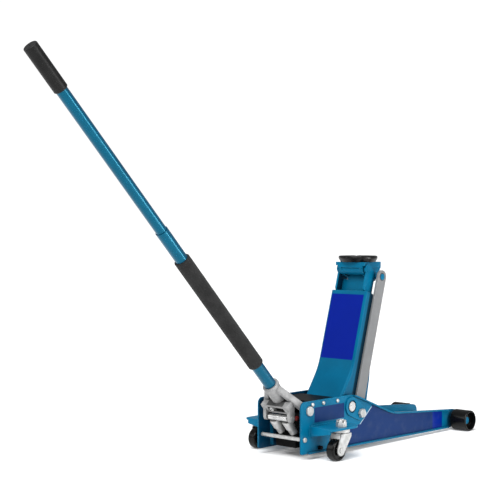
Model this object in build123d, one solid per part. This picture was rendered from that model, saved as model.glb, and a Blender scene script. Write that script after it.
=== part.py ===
import math
import os

from build123d import *

# Low-profile hydraulic trolley jack, modelled with its arm fully raised.
# X points forward, Y left and Z up from the floor, in millimetres and degrees.
# X is measured from the arm pivot until the last step, which centres the jack on its origin.

# Fits
FIT = 0.05              # radial clearance of a pin that is fixed in its hole
RUN = 0.08              # radial clearance of a pin that turns or slides in its hole
SIDE_GAP = 0.3          # gap between faces that move past each other

# Lift linkage
ARM_PIVOT_Z = 118.0
ARM_LENGTH = 378.0      # arm pivot to saddle carrier pivot
ARM_RAISED = 73.5       # angle of the arm above the floor when fully raised
ARM_SWING = 83.6        # travel from fully raised to fully lowered
LINK_DX = 38.0          # level link pivots, measured from the arm's pivots
LINK_DZ = -21.5
TAIL_RADIUS = 42.0      # arm pivot to the tail pin that the ram pushes

# Side plates
PLATE_INNER_Y = 70.0
PLATE_T = 5.0
LIP_W = 7.0             # how far the lips stand out
LIP_T = 4.0
PLATE_REAR_X = -206.0
PLATE_TOP_Z = 149.0
PLATE_REAR_Z = 15.0     # bottom edge at the rear
PLATE_NOSE_Z = 6.0      # bottom edge at the nose
PLATE_NOSE = 24.0       # plate in front of the front axle
PLATE_NOSE_TOP = 26.5   # plate above the front axle at the nose
SHOULDER_X = 10.0       # where the top edge turns down
WAIST_X = 182.0         # where it levels out again
WAIST_Z = 82.5
PLATE_CORNERS = (4.0, 20.0, 20.0, 160.0, 90.0, 16.0)    # radii, from the rear foot round by the nose
LIP_REAR_X = -182.0
LIP_FRONT = 30.0        # lips end this far behind the front axle
BOSS_T = 4.0            # raised area around the arm and link pivots
BOSS_R = 26.0
BOSS_LINK_R = 20.0
BOSS_RECESS = 4.0       # open ring around the shaft's end
RIB_X = -162.0          # upright rib inside each plate, in front of the tie rod
RIB_T = 6.0
RIB_W = 8.0
RIB_FOOT_Z = 21.0
RIB_TOP_Z = 82.0

# Chassis shafts, bolts and screws
SHAFT_R = 13.0
LINK_BOLT_R = 7.0
LINK_BOLT_HEAD = 22.0
LINK_BOLT_HEAD_T = 9.0
HEX_CHAMFER = 1.0       # on the link bolts' heads and the castle nuts
HANDLE_PIVOT_X = -174.0
HANDLE_PIVOT_Z = 124.0
HANDLE_BOLT_R = 8.0
HANDLE_BOLT_HEAD_R = 12.5
HANDLE_BOLT_HEAD_T = 6.0
TIE_ROD_X = -193.0
TIE_ROD_Z = 52.0
TIE_ROD_R = 5.0
TIE_ROD_HEAD_R = 6.5
TIE_ROD_HEAD_T = 4.0
SCREW_Z = 139.5
SCREW_XS = (-162.0, -118.0, -60.0)
SCREW_R = 3.0
SCREW_HEAD_R = 5.0
SCREW_HEAD_T = 4.0
MOUNT_ROD_X = -134.0    # cross rod that carries the pump unit and the springs' rear ends
MOUNT_ROD_Z = 26.0
MOUNT_ROD_R = 5.0
MOUNT_ROD_END = 9.0     # rod outside the side plates

# Front rollers
FRONT_AXLE_X = 485.0
FRONT_AXLE_R = 10.0
ROLLER_R = 30.0
ROLLER_GAP = 2.0        # roller beside the lips
ROLLER_W = 53.0
ROLLER_ROUND = 3.0
ROLLER_RECESS_R = 25.5
ROLLER_RECESS = 17.0
AXLE_WASHER_R = 15.0
AXLE_CLIP_T = 2.0
AXLE_END = 2.0          # axle past its clip

# Casters
KING_X = -118.0
KING_OUT = 60.0         # kingpin outside the side plate
KING_R = 7.0
KING_HEAD_R = 11.0
KING_HEAD_T = 3.0
KING_END = 2.0          # kingpin above its nut
WHEEL_GAP = 7.4         # caster wheel below the kingpin's head
SHELF_T = 5.0
SHELF_REAR_X = -172.0
SHELF_FRONT_X = -50.0
SHELF_TAPER = 12.0      # how far the front edge runs back at the tip
SHELF_EDGE = 20.0       # shelf outside the kingpin
SHELF_FRONT_ROUND = 26.0
SHELF_REAR_ROUND = 14.0
RIM_DROP = 21.0         # rear rim below the shelf, at the side plate
RIM_TIP = 9.0           # and at its outer end
NUT_AF = 24.0
NUT_H = 18.0
NUT_SLOT_W = 4.0
NUT_SLOT_H = 6.0
COTTER_R = 1.6
COTTER_L = 34.0
RACE_R = 22.0
RACE_T = 9.0
RACE_ROUND = 2.5
FORK_R = 20.0
FORK_BOSS_R = 17.0
FORK_BOSS_H = 1.0
FORK_T = 4.0
FORK_LEG_T = 3.0
FORK_LEG_W = 40.0
FORK_FOOT_R = 14.0
CASTER_TRAIL = 21.0
CASTER_R = 27.5
CASTER_W = 24.0
CASTER_ROUND = 4.0
CASTER_DISH = 0.76      # radius of the hollow in each face, as a part of the wheel's
CASTER_DISH_DEPTH = 3.0
CASTER_HUB_R = 10.0
CASTER_HUB_W = 28.4
CASTER_AXLE_R = 4.5
RIVET_R = 7.0
RIVET_T = 2.0

# Lift arm, drawn as (along the arm, ahead of its pin line)
ARM_SIDE_GAP = 1.2      # arm inside the level links
ARM_T = 6.0
ARM_BEND_R = 7.0        # rounded corners of the pressed channel
ARM_BACK = 6.0          # back face behind the pin line
BACK_FOOT = 12.0        # where the back starts
BACK_FLARE = 34.0       # how far the foot flares back
BACK_KNEE = 98.0        # where the flare ends
BACK_TOP = 315.0
BACK_KNEE_R = 180.0
FOOT_LAP = 4.0          # sides below the foot of the back
ARM_TIP_R = 13.0
ARM_DEEP = 80.0         # front edge ahead of the pin line near the pivot
ARM_WALL_TOP = 28.0     # and at the top of the back
ARM_HEEL = (-32.0, -8.0)    # sides' corners below the pivot, behind and in front
ARM_TOE = (-36.0, 45.0)
ARM_CHIN = 26.0         # where the deepest part starts along the arm
ARM_BROW = 92.0         # and where it ends
ARM_BROW_IN = 6.0       # how much shallower the sides are there
ARM_CORNERS = (18.0, 4.0, BACK_KNEE_R, 0.0, 10.0, 40.0, 22.0, 13.0)     # radii, from the heel round by the back
INNER_SET_IN = 10.8     # inner channel's sides inside the outer channel's
INNER_T = 6.0
INNER_FROM = 200.0
INNER_FRONT = 17.5      # its front sheet ahead of the pin line
INNER_FRONT_T = 5.0
INNER_FRONT_TO = 352.0
INNER_TONGUE_TO = 380.0
INNER_TONGUE_GAP = 2.0
LUG_BACK = 5.0          # lugs' rear edge behind the pin line
LUG_STEP = 6.0          # where it steps back above the outer channel
LUG_FRONT = 32.0        # lugs' front edge ahead of the pin line
LUG_SHOULDER = 9.0      # top of the lug's sloped shoulder, ahead of the pin line
LUG_DROP = 2.0          # shoulder below the lug's round end
LUG_ROUND = 10.0
SLEEVE_R = 19.0
TAIL_PIN_R = 7.0
CARRIER_PIN_R = 8.0
CARRIER_PIN_END = 1.0   # pin outside the lugs
BRACE_S = (222.0, 288.0)
BRACE_T = 9.5
BRACE_R = 8.0
BRACE_WALL = 2.5

# Level links
LINK_R = 18.0
LINK_T = 6.0
LINK_SIDE_GAP = 1.5     # level links inside the side plates
LINK_PIN_R = 8.5

# Saddle and its carrier
SADDLE_DX = 18.0        # saddle centre ahead of the carrier pivot
CARRIER_TOP = 19.0      # carrier's top face above its pivot
CARRIER_PLATE_T = 15.0
CARRIER_REAR = 19.0
CARRIER_FRONT = 70.0
CARRIER_ROUND = 12.0
CARRIER_SIDE_GAP = 3.0  # carrier inside the arm
FLANGE_L = 6.0          # wide lip behind the arm's lugs
FLANGE_T = 9.5
FLANGE_SET_IN = 1.5     # lip's ends inside the lugs' outer faces
CARRIER_HUB_R = 15.7
CHEEK_T = 8.0
CHEEK_SET_IN = 2.0
CHEEK_PIN_R = 13.0
STEM_R = 10.0
STEM_L = 18.0
STEM_BOSS_R = 15.0
SADDLE_PLATE_R = 46.0
SADDLE_PLATE_T = 6.5
PAD_R = 54.0
PAD_T = 17.0
PAD_TAPER = 6.0
PAD_ROUND = 4.5
PAD_EDGE = 3.0          # upright part of the edge
PAD_GROOVE_W = 8.0
PAD_GROOVE_H = 3.0

# Hydraulic unit
RAM_DROP = 37.0         # ram's axis below the arm pivot
BORE_R = 20.0
CYLINDER_R = 25.0
CYLINDER_REAR_X = -136.0
TANK_R = 52.0
TANK_WALL = 3.0
TANK_ROUND = 5.0
TANK_REAR_X = -122.0
TANK_FRONT_X = -54.0
GLAND_FRONT_X = -49.0
GLAND_L = 14.0
GLAND_R = 27.0
GLAND_CHAMFER = 1.5
ROD_R = 14.0
PISTON_L = 14.0
PISTON_SET_BACK = 1.0   # piston behind the gland when fully out
SEAL_W = 4.0
SEAL_DEPTH = 3.0
HEAD_L = 36.0
HEAD_SLEEVE_GAP = 5.0   # ram head under the arm's sleeve
HEAD_H = 36.0
HEAD_HALF_W = 20.0
HEAD_ROUND = 4.0
SLOT_PLAY = 1.9         # each side of the tail pin, for the arc that it follows
SLOT_FLOOR_GAP = 2.0
SPRING_BAR_R = 5.0
SPRING_BAR_WEB = 12.0
BODY_HALF_W = 35.0
BODY_REAR_X = -180.0
BODY_WALL_X = -158.0
BODY_TOP_Z = 108.0
BODY_BOTTOM_Z = 24.0
BODY_CHAMFER = 12.0
BODY_CORNER = 4.0
BODY_ROUND = 3.0
COVER_TOP_Z = 145.0
COVER_SHEET = 2.5
COVER_SKIRT = 17.0
COVER_ROUND = 4.0
COVER_REAR_X = -148.0
COVER_FRONT_X = -44.0
PLUG_R = 6.0
PLUG_Y = -20.0
PLUG_Z = 98.0
PLUG_L = 9.0

# Return springs
SPRING_SIDE_GAP = 2.0   # springs beside the pump body
SPRING_WIRE = 2.5
SPRING_R = 5.75         # to the middle of the wire
SPRING_TURNS = 28

# Pump
PUMP_TILT = 50.0        # plungers point this far below the horizontal
PLUNGER_Y = 21.0
PLUNGER_R = 8.0
CAP_R = 13.0
CAP_L = 24.0
CAP_TOP_T = 5.0
CAP_ROUND = 1.5
CAP_GAP = 0.5           # cap around the barrel
BARREL_R = 10.5
BARREL_STAND = 44.0     # plunger's top to the pump body, handle at rest
BARREL_SINK = 28.0
BARREL_TOP = 25.0       # barrel's top, measured from the plunger's top
PLUNGER_L = 52.0
PUMP_ROLLER_R = 8.0
PUMP_ROLLER_L = 64.0
PUMP_ROLLER_ROUND = 1.0
PUMP_ROLLER_ARM = 38.0  # handle pivot to pump roller
PUMP_ROLLER_TURN = 78.0 # from the handle's axis round to the roller
PUMP_REST_GAP = 1.3
ROLLER_PIN_R = 4.0
ROLLER_PIN_END = 1.0    # pin outside the cheeks

# Handle socket, drawn along the handle from the pump pivot
HANDLE_RISE = 46.0      # handle above the horizontal at rest
SOCKET_FOOT = 36.0
SOCKET_LEDGE = 44.0
SOCKET_TOP = 96.0
SOCKET_R = 20.0
SOCKET_RING_R = 22.0
SOCKET_RING_L = 10.0
SOCKET_RING_ROUND = 2.0
SOCKET_LEDGE_R = 11.0
YOKE_SIDE_GAP = 1.0     # yoke inside the side plates
YOKE_BOSS_R = 15.0
YOKE_BOSS_W = 14.0
YOKE_ARM_T = 18.0
YOKE_ROUND = 4.0
YOKE_CROTCH = 26.0      # where the arms part, below the socket's top
YOKE_CROTCH_IN = 4.0    # inside the socket's wall
YOKE_CHEEK_GAP = 4.0    # cheeks beside the pump roller
YOKE_CHEEK_T = 10.0
YOKE_CHEEK_R = 9.5
YOKE_CHEEK_DX = 11.0    # cheeks' upper ends, measured from the middle of the web
YOKE_CHEEK_DZ = 4.0
YOKE_WEB_X = -24.0
YOKE_WEB_Z = 30.0
YOKE_WEB_T = 12.0
YOKE_WEB_H = 28.0
YOKE_WINDOW_W = 54.0
YOKE_WINDOW_FOOT = 21.5
YOKE_WINDOW_TOP = 38.5

# Handle
LOWER_R = 16.0
LOWER_WALL = 1.8
LOWER_END = 644.0
UPPER_R = 14.0
UPPER_WALL = 2.0
UPPER_LAP = 80.0        # upper tube inside the lower tube
FOAM_R = 20.5
FOAM_FROM = 174.0
FOAM_TO = 550.0
GRIP_R = 17.0
GRIP_ROUND = 3.0
GRIP_FROM = 1068.0
HANDLE_END = 1188.0
GRIP_CAP = 6.0
GRIP_VENT_R = 1.5

# Release valve and the ball-ended driver at the foot of the handle
BALL_R = 6.8
BALL_NECK_R = 3.5
DRIVER_PLUG_L = 18.0
CUP_R = 11.0
CUP_L = 14.0
VALVE_R = 6.0
VALVE_STAND = 30.0      # pump pivot to the pump body
VALVE_SINK = 12.0
VALVE_MOUTH = 20.0      # bore's open end outside the pump body

# Derived places
plate_outer_y = PLATE_INNER_Y + PLATE_T
lip_outer_y = plate_outer_y + LIP_W
boss_outer_y = plate_outer_y + BOSS_T
link_out_y = PLATE_INNER_Y - LINK_SIDE_GAP
link_in_y = link_out_y - LINK_T
arm_out_y = link_in_y - ARM_SIDE_GAP
arm_in_y = arm_out_y - ARM_T
lug_out_y = arm_out_y - INNER_SET_IN
lug_in_y = lug_out_y - INNER_T
carrier_half_w = lug_in_y - CARRIER_SIDE_GAP
cheek_out_y = carrier_half_w - CHEEK_SET_IN
cheek_in_y = cheek_out_y - CHEEK_T
yoke_out_y = PLATE_INNER_Y - YOKE_SIDE_GAP
yoke_cheek_in_y = PUMP_ROLLER_L / 2 + YOKE_CHEEK_GAP
yoke_cheek_out_y = yoke_cheek_in_y + YOKE_CHEEK_T
arm_cos = math.cos(math.radians(ARM_RAISED))
arm_sin = math.sin(math.radians(ARM_RAISED))
carrier_x = ARM_LENGTH * arm_cos
carrier_z = ARM_PIVOT_Z + ARM_LENGTH * arm_sin
link_z = ARM_PIVOT_Z + LINK_DZ
link_top_x = carrier_x + LINK_DX
link_top_z = carrier_z + LINK_DZ
half_swing = math.radians(ARM_SWING / 2)
tail_x = TAIL_RADIUS * math.sin(half_swing)
tail_z = ARM_PIVOT_Z - TAIL_RADIUS * math.cos(half_swing)
ram_stroke = 2 * tail_x
saddle_x = carrier_x + SADDLE_DX
roller_in_y = lip_outer_y + ROLLER_GAP
roller_out_y = roller_in_y + ROLLER_W
king_y = plate_outer_y + KING_OUT
shelf_out_y = king_y + SHELF_EDGE
king_head_z = 2 * CASTER_R + WHEEL_GAP
fork_plate_z = king_head_z + KING_HEAD_T + SIDE_GAP
fork_top_z = fork_plate_z + FORK_T
race_foot_z = fork_top_z + SIDE_GAP
shelf_z = race_foot_z + RACE_T
shelf_top_z = shelf_z + SHELF_T
fork_in_y = CASTER_HUB_W / 2 + SIDE_GAP
fork_out_y = fork_in_y + FORK_LEG_T
caster_x = KING_X - CASTER_TRAIL
pump_dx = math.cos(math.radians(PUMP_TILT))
pump_dz = -math.sin(math.radians(PUMP_TILT))
handle_dx = -math.cos(math.radians(HANDLE_RISE))
handle_dz = math.sin(math.radians(HANDLE_RISE))
roller_turn = math.radians(180 - HANDLE_RISE + PUMP_ROLLER_TURN)
pump_roller_x = HANDLE_PIVOT_X + PUMP_ROLLER_ARM * math.cos(roller_turn)
pump_roller_z = HANDLE_PIVOT_Z + PUMP_ROLLER_ARM * math.sin(roller_turn)
plunger_top = PUMP_ROLLER_R + PUMP_REST_GAP
plunger_x = pump_roller_x + plunger_top * pump_dx
plunger_z = pump_roller_z + plunger_top * pump_dz
ram_axis_z = ARM_PIVOT_Z - RAM_DROP
head_top_z = ARM_PIVOT_Z - SLEEVE_R - HEAD_SLEEVE_GAP
head_bottom_z = head_top_z - HEAD_H
spring_y = BODY_HALF_W + SPRING_SIDE_GAP + SPRING_R + SPRING_WIRE / 2
gland_rear_x = GLAND_FRONT_X - GLAND_L
piston_front_x = gland_rear_x - PISTON_SET_BACK
head_rear_x = tail_x - HEAD_L / 2


def rod(x, z, radius, y0, y1):
    # Round bar along Y.
    return Pos(x, (y0 + y1) / 2, z) * Rot(90, 0, 0) * Cylinder(radius, y1 - y0)


def rod_x(y, z, radius, x0, x1):
    return Pos((x0 + x1) / 2, y, z) * Rot(0, 90, 0) * Cylinder(radius, x1 - x0)


def post(x, y, radius, z0, z1):
    return Pos(x, y, (z0 + z1) / 2) * Cylinder(radius, z1 - z0)


def block(x0, x1, y0, y1, z0, z1):
    return Pos((x0 + x1) / 2, (y0 + y1) / 2, (z0 + z1) / 2) * Box(x1 - x0, y1 - y0, z1 - z0)


def along(x, y, z, dx, dz):
    # Placement whose own Z axis points along (dx, dz) in the XZ plane.
    return Pos(x, y, z) * Rot(0, math.degrees(math.atan2(dx, dz)), 0)


def spindle(place, radius, h0, h1):
    return place * Pos(0, 0, (h0 + h1) / 2) * Cylinder(radius, h1 - h0)


def outline(points, radii):
    # Closed outline with each corner rounded by its own radius.
    return make_face(FilletPolyline(*points, radius=radii, close=True))


def slab(face, y0, y1):
    # Face drawn as (x, z), given its thickness along Y.
    return Pos(0, y1, 0) * Rot(90, 0, 0) * extrude(face, amount=y1 - y0, dir=(0, 0, 1))


def stadium(x0, z0, r0, x1, z1, r1):
    ends = Pos(x0, z0) * Circle(r0) + Pos(x1, z1) * Circle(r1)
    return make_hull(ends.edges())


def other_side(part):
    return mirror(part, Plane.XZ)


def both_sides(part):
    return Compound([part, other_side(part)])


def arm_point(s, t):
    # Place of a point s along the raised arm and t ahead of its pin line.
    return (s * arm_cos + t * arm_sin, ARM_PIVOT_Z + s * arm_sin - t * arm_cos)


def side_plate():
    nose_x = FRONT_AXLE_X + PLATE_NOSE
    nose_top_z = ROLLER_R + PLATE_NOSE_TOP
    shape = outline(
        [
            (PLATE_REAR_X, PLATE_REAR_Z),
            (nose_x, PLATE_NOSE_Z),
            (nose_x, nose_top_z),
            (WAIST_X, WAIST_Z),
            (SHOULDER_X, PLATE_TOP_Z),
            (PLATE_REAR_X, PLATE_TOP_Z),
        ],
        PLATE_CORNERS,
    )
    rim = shape - offset(shape, amount=-LIP_T)
    lip_front_x = FRONT_AXLE_X - LIP_FRONT
    foot_mid_x = (LIP_REAR_X + lip_front_x) / 2
    slope_mid_x = (SHOULDER_X + lip_front_x) / 2
    foot = Pos(foot_mid_x, 0) * Rectangle(lip_front_x - LIP_REAR_X, 2 * ROLLER_R)
    slope = Pos(slope_mid_x, PLATE_TOP_Z) * Rectangle(lip_front_x - SHOULDER_X, 2 * (PLATE_TOP_Z - ROLLER_R))
    plate = slab(shape, PLATE_INNER_Y, plate_outer_y)
    plate += slab(rim & (foot + slope), plate_outer_y, lip_outer_y)
    raised = stadium(0, ARM_PIVOT_Z, BOSS_R, LINK_DX, link_z, BOSS_LINK_R)
    plate += slab(raised, plate_outer_y, boss_outer_y)
    plate += block(RIB_X, RIB_X + RIB_T, PLATE_INNER_Y - RIB_W, PLATE_INNER_Y, RIB_FOOT_Z, RIB_TOP_Z)
    holes = [
        (0, ARM_PIVOT_Z, SHAFT_R),
        (LINK_DX, link_z, LINK_BOLT_R),
        (HANDLE_PIVOT_X, HANDLE_PIVOT_Z, HANDLE_BOLT_R),
        (TIE_ROD_X, TIE_ROD_Z, TIE_ROD_R),
        (MOUNT_ROD_X, MOUNT_ROD_Z, MOUNT_ROD_R),
        (FRONT_AXLE_X, ROLLER_R, FRONT_AXLE_R),
    ]
    holes += [(x, SCREW_Z, SCREW_R) for x in SCREW_XS]
    for x, z, radius in holes:
        plate -= rod(x, z, radius + FIT, PLATE_INNER_Y - 1, lip_outer_y + 1)
    plate -= rod(0, ARM_PIVOT_Z, SHAFT_R + BOSS_RECESS, plate_outer_y, boss_outer_y + 1)
    return plate


def link_bolt():
    head = extrude(RegularPolygon(LINK_BOLT_HEAD / 2, 6, major_radius=False), amount=LINK_BOLT_HEAD_T)
    head = chamfer(head.faces().sort_by(Axis.Z)[-1].edges(), HEX_CHAMFER)
    head = Pos(LINK_DX, boss_outer_y, link_z) * Rot(-90, 0, 0) * head
    return head + rod(LINK_DX, link_z, LINK_BOLT_R, link_in_y - 1, boss_outer_y)


def handle_bolt():
    bolt = rod(HANDLE_PIVOT_X, HANDLE_PIVOT_Z, HANDLE_BOLT_R, yoke_out_y - YOKE_BOSS_W, plate_outer_y)
    head_y = plate_outer_y + HANDLE_BOLT_HEAD_T
    head = rod(HANDLE_PIVOT_X, HANDLE_PIVOT_Z, HANDLE_BOLT_HEAD_R, plate_outer_y, head_y)
    head = fillet(head.faces().sort_by(Axis.Y)[-1].edges(), HANDLE_BOLT_HEAD_T / 3)
    return bolt + head


def plate_screw(x):
    reach = PLATE_INNER_Y - COVER_SHEET - 2 if COVER_REAR_X < x < COVER_FRONT_X else PLATE_INNER_Y
    head_y = plate_outer_y + SCREW_HEAD_T
    head = rod(x, SCREW_Z, SCREW_HEAD_R, plate_outer_y, head_y)
    head = fillet(head.faces().sort_by(Axis.Y)[-1].edges(), SCREW_HEAD_T / 2)
    return head + rod(x, SCREW_Z, SCREW_R, reach, plate_outer_y)


def rear_tie_rod():
    bar = rod(TIE_ROD_X, TIE_ROD_Z, TIE_ROD_R, -plate_outer_y, plate_outer_y)
    head = rod(TIE_ROD_X, TIE_ROD_Z, TIE_ROD_HEAD_R, plate_outer_y, plate_outer_y + TIE_ROD_HEAD_T)
    head = fillet(head.faces().sort_by(Axis.Y)[-1].edges(), TIE_ROD_HEAD_T / 2)
    return bar + head + other_side(head)


def front_roller():
    axle_z = ROLLER_R
    roller = rod(FRONT_AXLE_X, axle_z, ROLLER_R, roller_in_y, roller_out_y)
    roller = fillet(roller.edges().filter_by(GeomType.CIRCLE), ROLLER_ROUND)
    mouth_y = roller_out_y - ROLLER_RECESS
    roller -= rod(FRONT_AXLE_X, axle_z, ROLLER_RECESS_R, mouth_y, roller_out_y + 1)
    return roller - rod(FRONT_AXLE_X, axle_z, FRONT_AXLE_R + RUN, roller_in_y - 1, roller_out_y)


def axle_ring(y0, y1):
    ring = rod(FRONT_AXLE_X, ROLLER_R, AXLE_WASHER_R, y0, y1)
    return ring - rod(FRONT_AXLE_X, ROLLER_R, FRONT_AXLE_R + FIT, y0 - 1, y1 + 1)


def caster_bracket():
    tip_front_x = SHELF_FRONT_X - SHELF_TAPER
    shape = outline(
        [
            (SHELF_REAR_X, plate_outer_y),
            (SHELF_FRONT_X, plate_outer_y),
            (tip_front_x, shelf_out_y),
            (SHELF_REAR_X, shelf_out_y),
        ],
        [0, 0, SHELF_FRONT_ROUND, SHELF_REAR_ROUND],
    )
    shelf = Pos(0, 0, shelf_z) * extrude(shape, amount=SHELF_T, dir=(0, 0, 1))
    rim_face = make_face(
        Polyline(
            (plate_outer_y, shelf_z),
            (plate_outer_y, shelf_z - RIM_DROP),
            (shelf_out_y - SHELF_REAR_ROUND, shelf_z - RIM_TIP),
            (shelf_out_y - SHELF_REAR_ROUND, shelf_z),
            close=True,
        )
    )
    rim = Plane(origin=(SHELF_REAR_X, 0, 0), x_dir=(0, 1, 0), z_dir=(1, 0, 0)) * rim_face
    bracket = shelf + extrude(rim, amount=SHELF_T, dir=(1, 0, 0))
    return bracket - post(KING_X, king_y, KING_R + FIT, shelf_z - 1, shelf_top_z + 1)


def kingpin():
    shank_z = king_head_z + KING_HEAD_T
    head = post(KING_X, king_y, KING_HEAD_R, king_head_z, shank_z)
    return head + post(KING_X, king_y, KING_R, shank_z, shelf_top_z + NUT_H + KING_END)


def castle_nut():
    nut = extrude(RegularPolygon(NUT_AF / 2, 6, major_radius=False), amount=NUT_H)
    nut = chamfer(nut.faces().sort_by(Axis.Z)[-1].edges(), HEX_CHAMFER)
    slot_z = NUT_H - NUT_SLOT_H / 2
    for turn in (0, 60, 120):
        nut -= Pos(0, 0, slot_z) * Rot(0, 0, turn) * Box(2 * NUT_AF, NUT_SLOT_W, NUT_SLOT_H)
    nut -= Cylinder(KING_R + FIT, 4 * NUT_H)
    return Pos(KING_X, king_y, shelf_top_z) * nut


def cotter_pin():
    # The pin lies in one slot of the nut, in two halves either side of the kingpin.
    pin_z = shelf_top_z + NUT_H - NUT_SLOT_H / 2
    tail = rod_x(king_y, pin_z, COTTER_R, KING_X + KING_R, KING_X + COTTER_L / 2)
    eye = rod_x(king_y, pin_z, COTTER_R, KING_X - COTTER_L / 2, KING_X - KING_R)
    return [tail, eye]


def swivel_race():
    race = post(KING_X, king_y, RACE_R, race_foot_z, shelf_z)
    race = fillet(race.faces().sort_by(Axis.Z)[0].edges(), RACE_ROUND)
    return race - post(KING_X, king_y, KING_R + FIT, race_foot_z - 1, shelf_z + 1)


def caster_fork():
    crown = post(KING_X, king_y, FORK_R, fork_plate_z, fork_top_z - FORK_BOSS_H)
    crown += post(KING_X, king_y, FORK_BOSS_R, fork_plate_z, fork_top_z)
    top = Pos(KING_X, fork_top_z - FORK_BOSS_H - FORK_T) * Rectangle(FORK_LEG_W, 2 * FORK_T)
    leg_face = make_hull((top + Pos(caster_x, CASTER_R) * Circle(FORK_FOOT_R)).edges())
    leg = slab(leg_face, fork_in_y, fork_out_y)
    fork = crown + Pos(0, king_y, 0) * (leg + other_side(leg))
    fork -= post(KING_X, king_y, KING_R + RUN, fork_plate_z - 1, fork_top_z + 1)
    return fork - rod(caster_x, CASTER_R, CASTER_AXLE_R + FIT, king_y - FORK_R, king_y + FORK_R)


def caster_axle():
    axle = rod(caster_x, CASTER_R, CASTER_AXLE_R, -fork_out_y, fork_out_y)
    rivet = rod(caster_x, CASTER_R, RIVET_R, fork_out_y, fork_out_y + RIVET_T)
    return Pos(0, king_y, 0) * (axle + rivet + other_side(rivet))


def caster_wheel():
    half = CASTER_W / 2
    wheel = rod(caster_x, CASTER_R, CASTER_R, -half, half)
    wheel = fillet(wheel.edges().filter_by(GeomType.CIRCLE), CASTER_ROUND)
    dish = rod(caster_x, CASTER_R, CASTER_DISH * CASTER_R, half - CASTER_DISH_DEPTH, half + 1)
    wheel -= dish + other_side(dish)
    wheel += rod(caster_x, CASTER_R, CASTER_HUB_R, -CASTER_HUB_W / 2, CASTER_HUB_W / 2)
    wheel -= rod(caster_x, CASTER_R, CASTER_AXLE_R + RUN, -CASTER_W, CASTER_W)
    return Pos(0, king_y, 0) * wheel


def arm_channel():
    # One pressed sheet: a back with rounded corners, and two sides cut to their outline.
    flare = (BACK_FLARE - ARM_BACK) / (BACK_KNEE - BACK_FOOT)
    lead = 2 * BACK_FOOT + ARM_T
    path = FilletPolyline(
        arm_point(BACK_FOOT - lead, -BACK_FLARE - flare * lead),
        arm_point(BACK_KNEE, -ARM_BACK),
        arm_point(BACK_TOP, -ARM_BACK),
        radius=BACK_KNEE_R,
    )
    path = Rot(90, 0, 0) * path
    deep = 2 * ARM_DEEP
    inner_r = ARM_BEND_R - ARM_T
    section = outline(
        [(-arm_out_y, 0), (arm_out_y, 0), (arm_out_y, -deep), (-arm_out_y, -deep)],
        [ARM_BEND_R, ARM_BEND_R, 0, 0],
    )
    section -= outline(
        [(-arm_in_y, -ARM_T), (arm_in_y, -ARM_T), (arm_in_y, -deep - 1), (-arm_in_y, -deep - 1)],
        [inner_r, inner_r, 0, 0],
    )
    start = Plane(origin=path @ 0, x_dir=(0, 1, 0), z_dir=path % 0)
    channel = sweep(start * section, path=path)
    shape = outline(
        [
            arm_point(*ARM_HEEL),
            arm_point(BACK_FOOT - FOOT_LAP, -BACK_FLARE - ARM_T),
            arm_point(BACK_KNEE, -ARM_BACK - ARM_T),
            arm_point(BACK_TOP, -ARM_BACK - ARM_T),
            arm_point(BACK_TOP, ARM_WALL_TOP),
            arm_point(ARM_BROW, ARM_DEEP - ARM_BROW_IN),
            arm_point(ARM_CHIN, ARM_DEEP),
            arm_point(*ARM_TOE),
        ],
        ARM_CORNERS,
    )
    channel &= slab(shape, -arm_out_y, arm_out_y)
    below = make_face(
        Polyline(
            arm_point(BACK_FOOT, -2 * BACK_FLARE),
            arm_point(BACK_FOOT, deep),
            arm_point(-deep, deep),
            arm_point(-deep, -2 * BACK_FLARE),
            close=True,
        )
    )
    channel -= slab(below, -arm_in_y, arm_in_y)
    channel -= rod(0, ARM_PIVOT_Z, SHAFT_R + RUN, -arm_out_y - 1, arm_out_y + 1)
    return channel - rod(tail_x, tail_z, TAIL_PIN_R + FIT, -arm_out_y - 1, arm_out_y + 1)


def arm_inner_channel():
    # Folded the other way round inside the outer channel, with two lugs for the saddle carrier.
    front = INNER_FRONT + INNER_FRONT_T

    def front_sheet(top, half):
        shape = make_face(
            Polyline(
                arm_point(INNER_FROM, INNER_FRONT),
                arm_point(top, INNER_FRONT),
                arm_point(top, front),
                arm_point(INNER_FROM, front),
                close=True,
            )
        )
        return slab(shape, -half, half)

    behind = ARM_T - ARM_BACK
    shape = outline(
        [
            arm_point(INNER_FROM, behind),
            arm_point(BACK_TOP + 1, behind),
            arm_point(BACK_TOP + 1 + LUG_STEP, -LUG_BACK),
            arm_point(ARM_LENGTH, -LUG_BACK),
            arm_point(ARM_LENGTH + ARM_TIP_R, 0),
            arm_point(ARM_LENGTH + ARM_TIP_R - LUG_DROP, LUG_SHOULDER),
            arm_point(ARM_LENGTH - LUG_DROP, LUG_FRONT),
            arm_point(INNER_FROM, LUG_FRONT),
        ],
        [0, 0, 0, 0, 0, 0, LUG_ROUND, 0],
    )
    side = slab(shape, lug_in_y, lug_out_y) + rod(carrier_x, carrier_z, ARM_TIP_R, lug_in_y, lug_out_y)
    inner = side + other_side(side)
    inner += front_sheet(INNER_FRONT_TO, lug_in_y) + front_sheet(INNER_TONGUE_TO, cheek_in_y - INNER_TONGUE_GAP)
    for s in BRACE_S:
        x, z = arm_point(s, BRACE_T)
        inner -= rod(x, z, BRACE_R + FIT, -arm_out_y, arm_out_y)
    return inner - rod(carrier_x, carrier_z, CARRIER_PIN_R + FIT, -arm_out_y, arm_out_y)


def arm_brace(s):
    x, z = arm_point(s, BRACE_T)
    return rod(x, z, BRACE_R, -arm_in_y, arm_in_y) - rod(x, z, BRACE_R - BRACE_WALL, -arm_in_y, arm_in_y)


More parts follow.
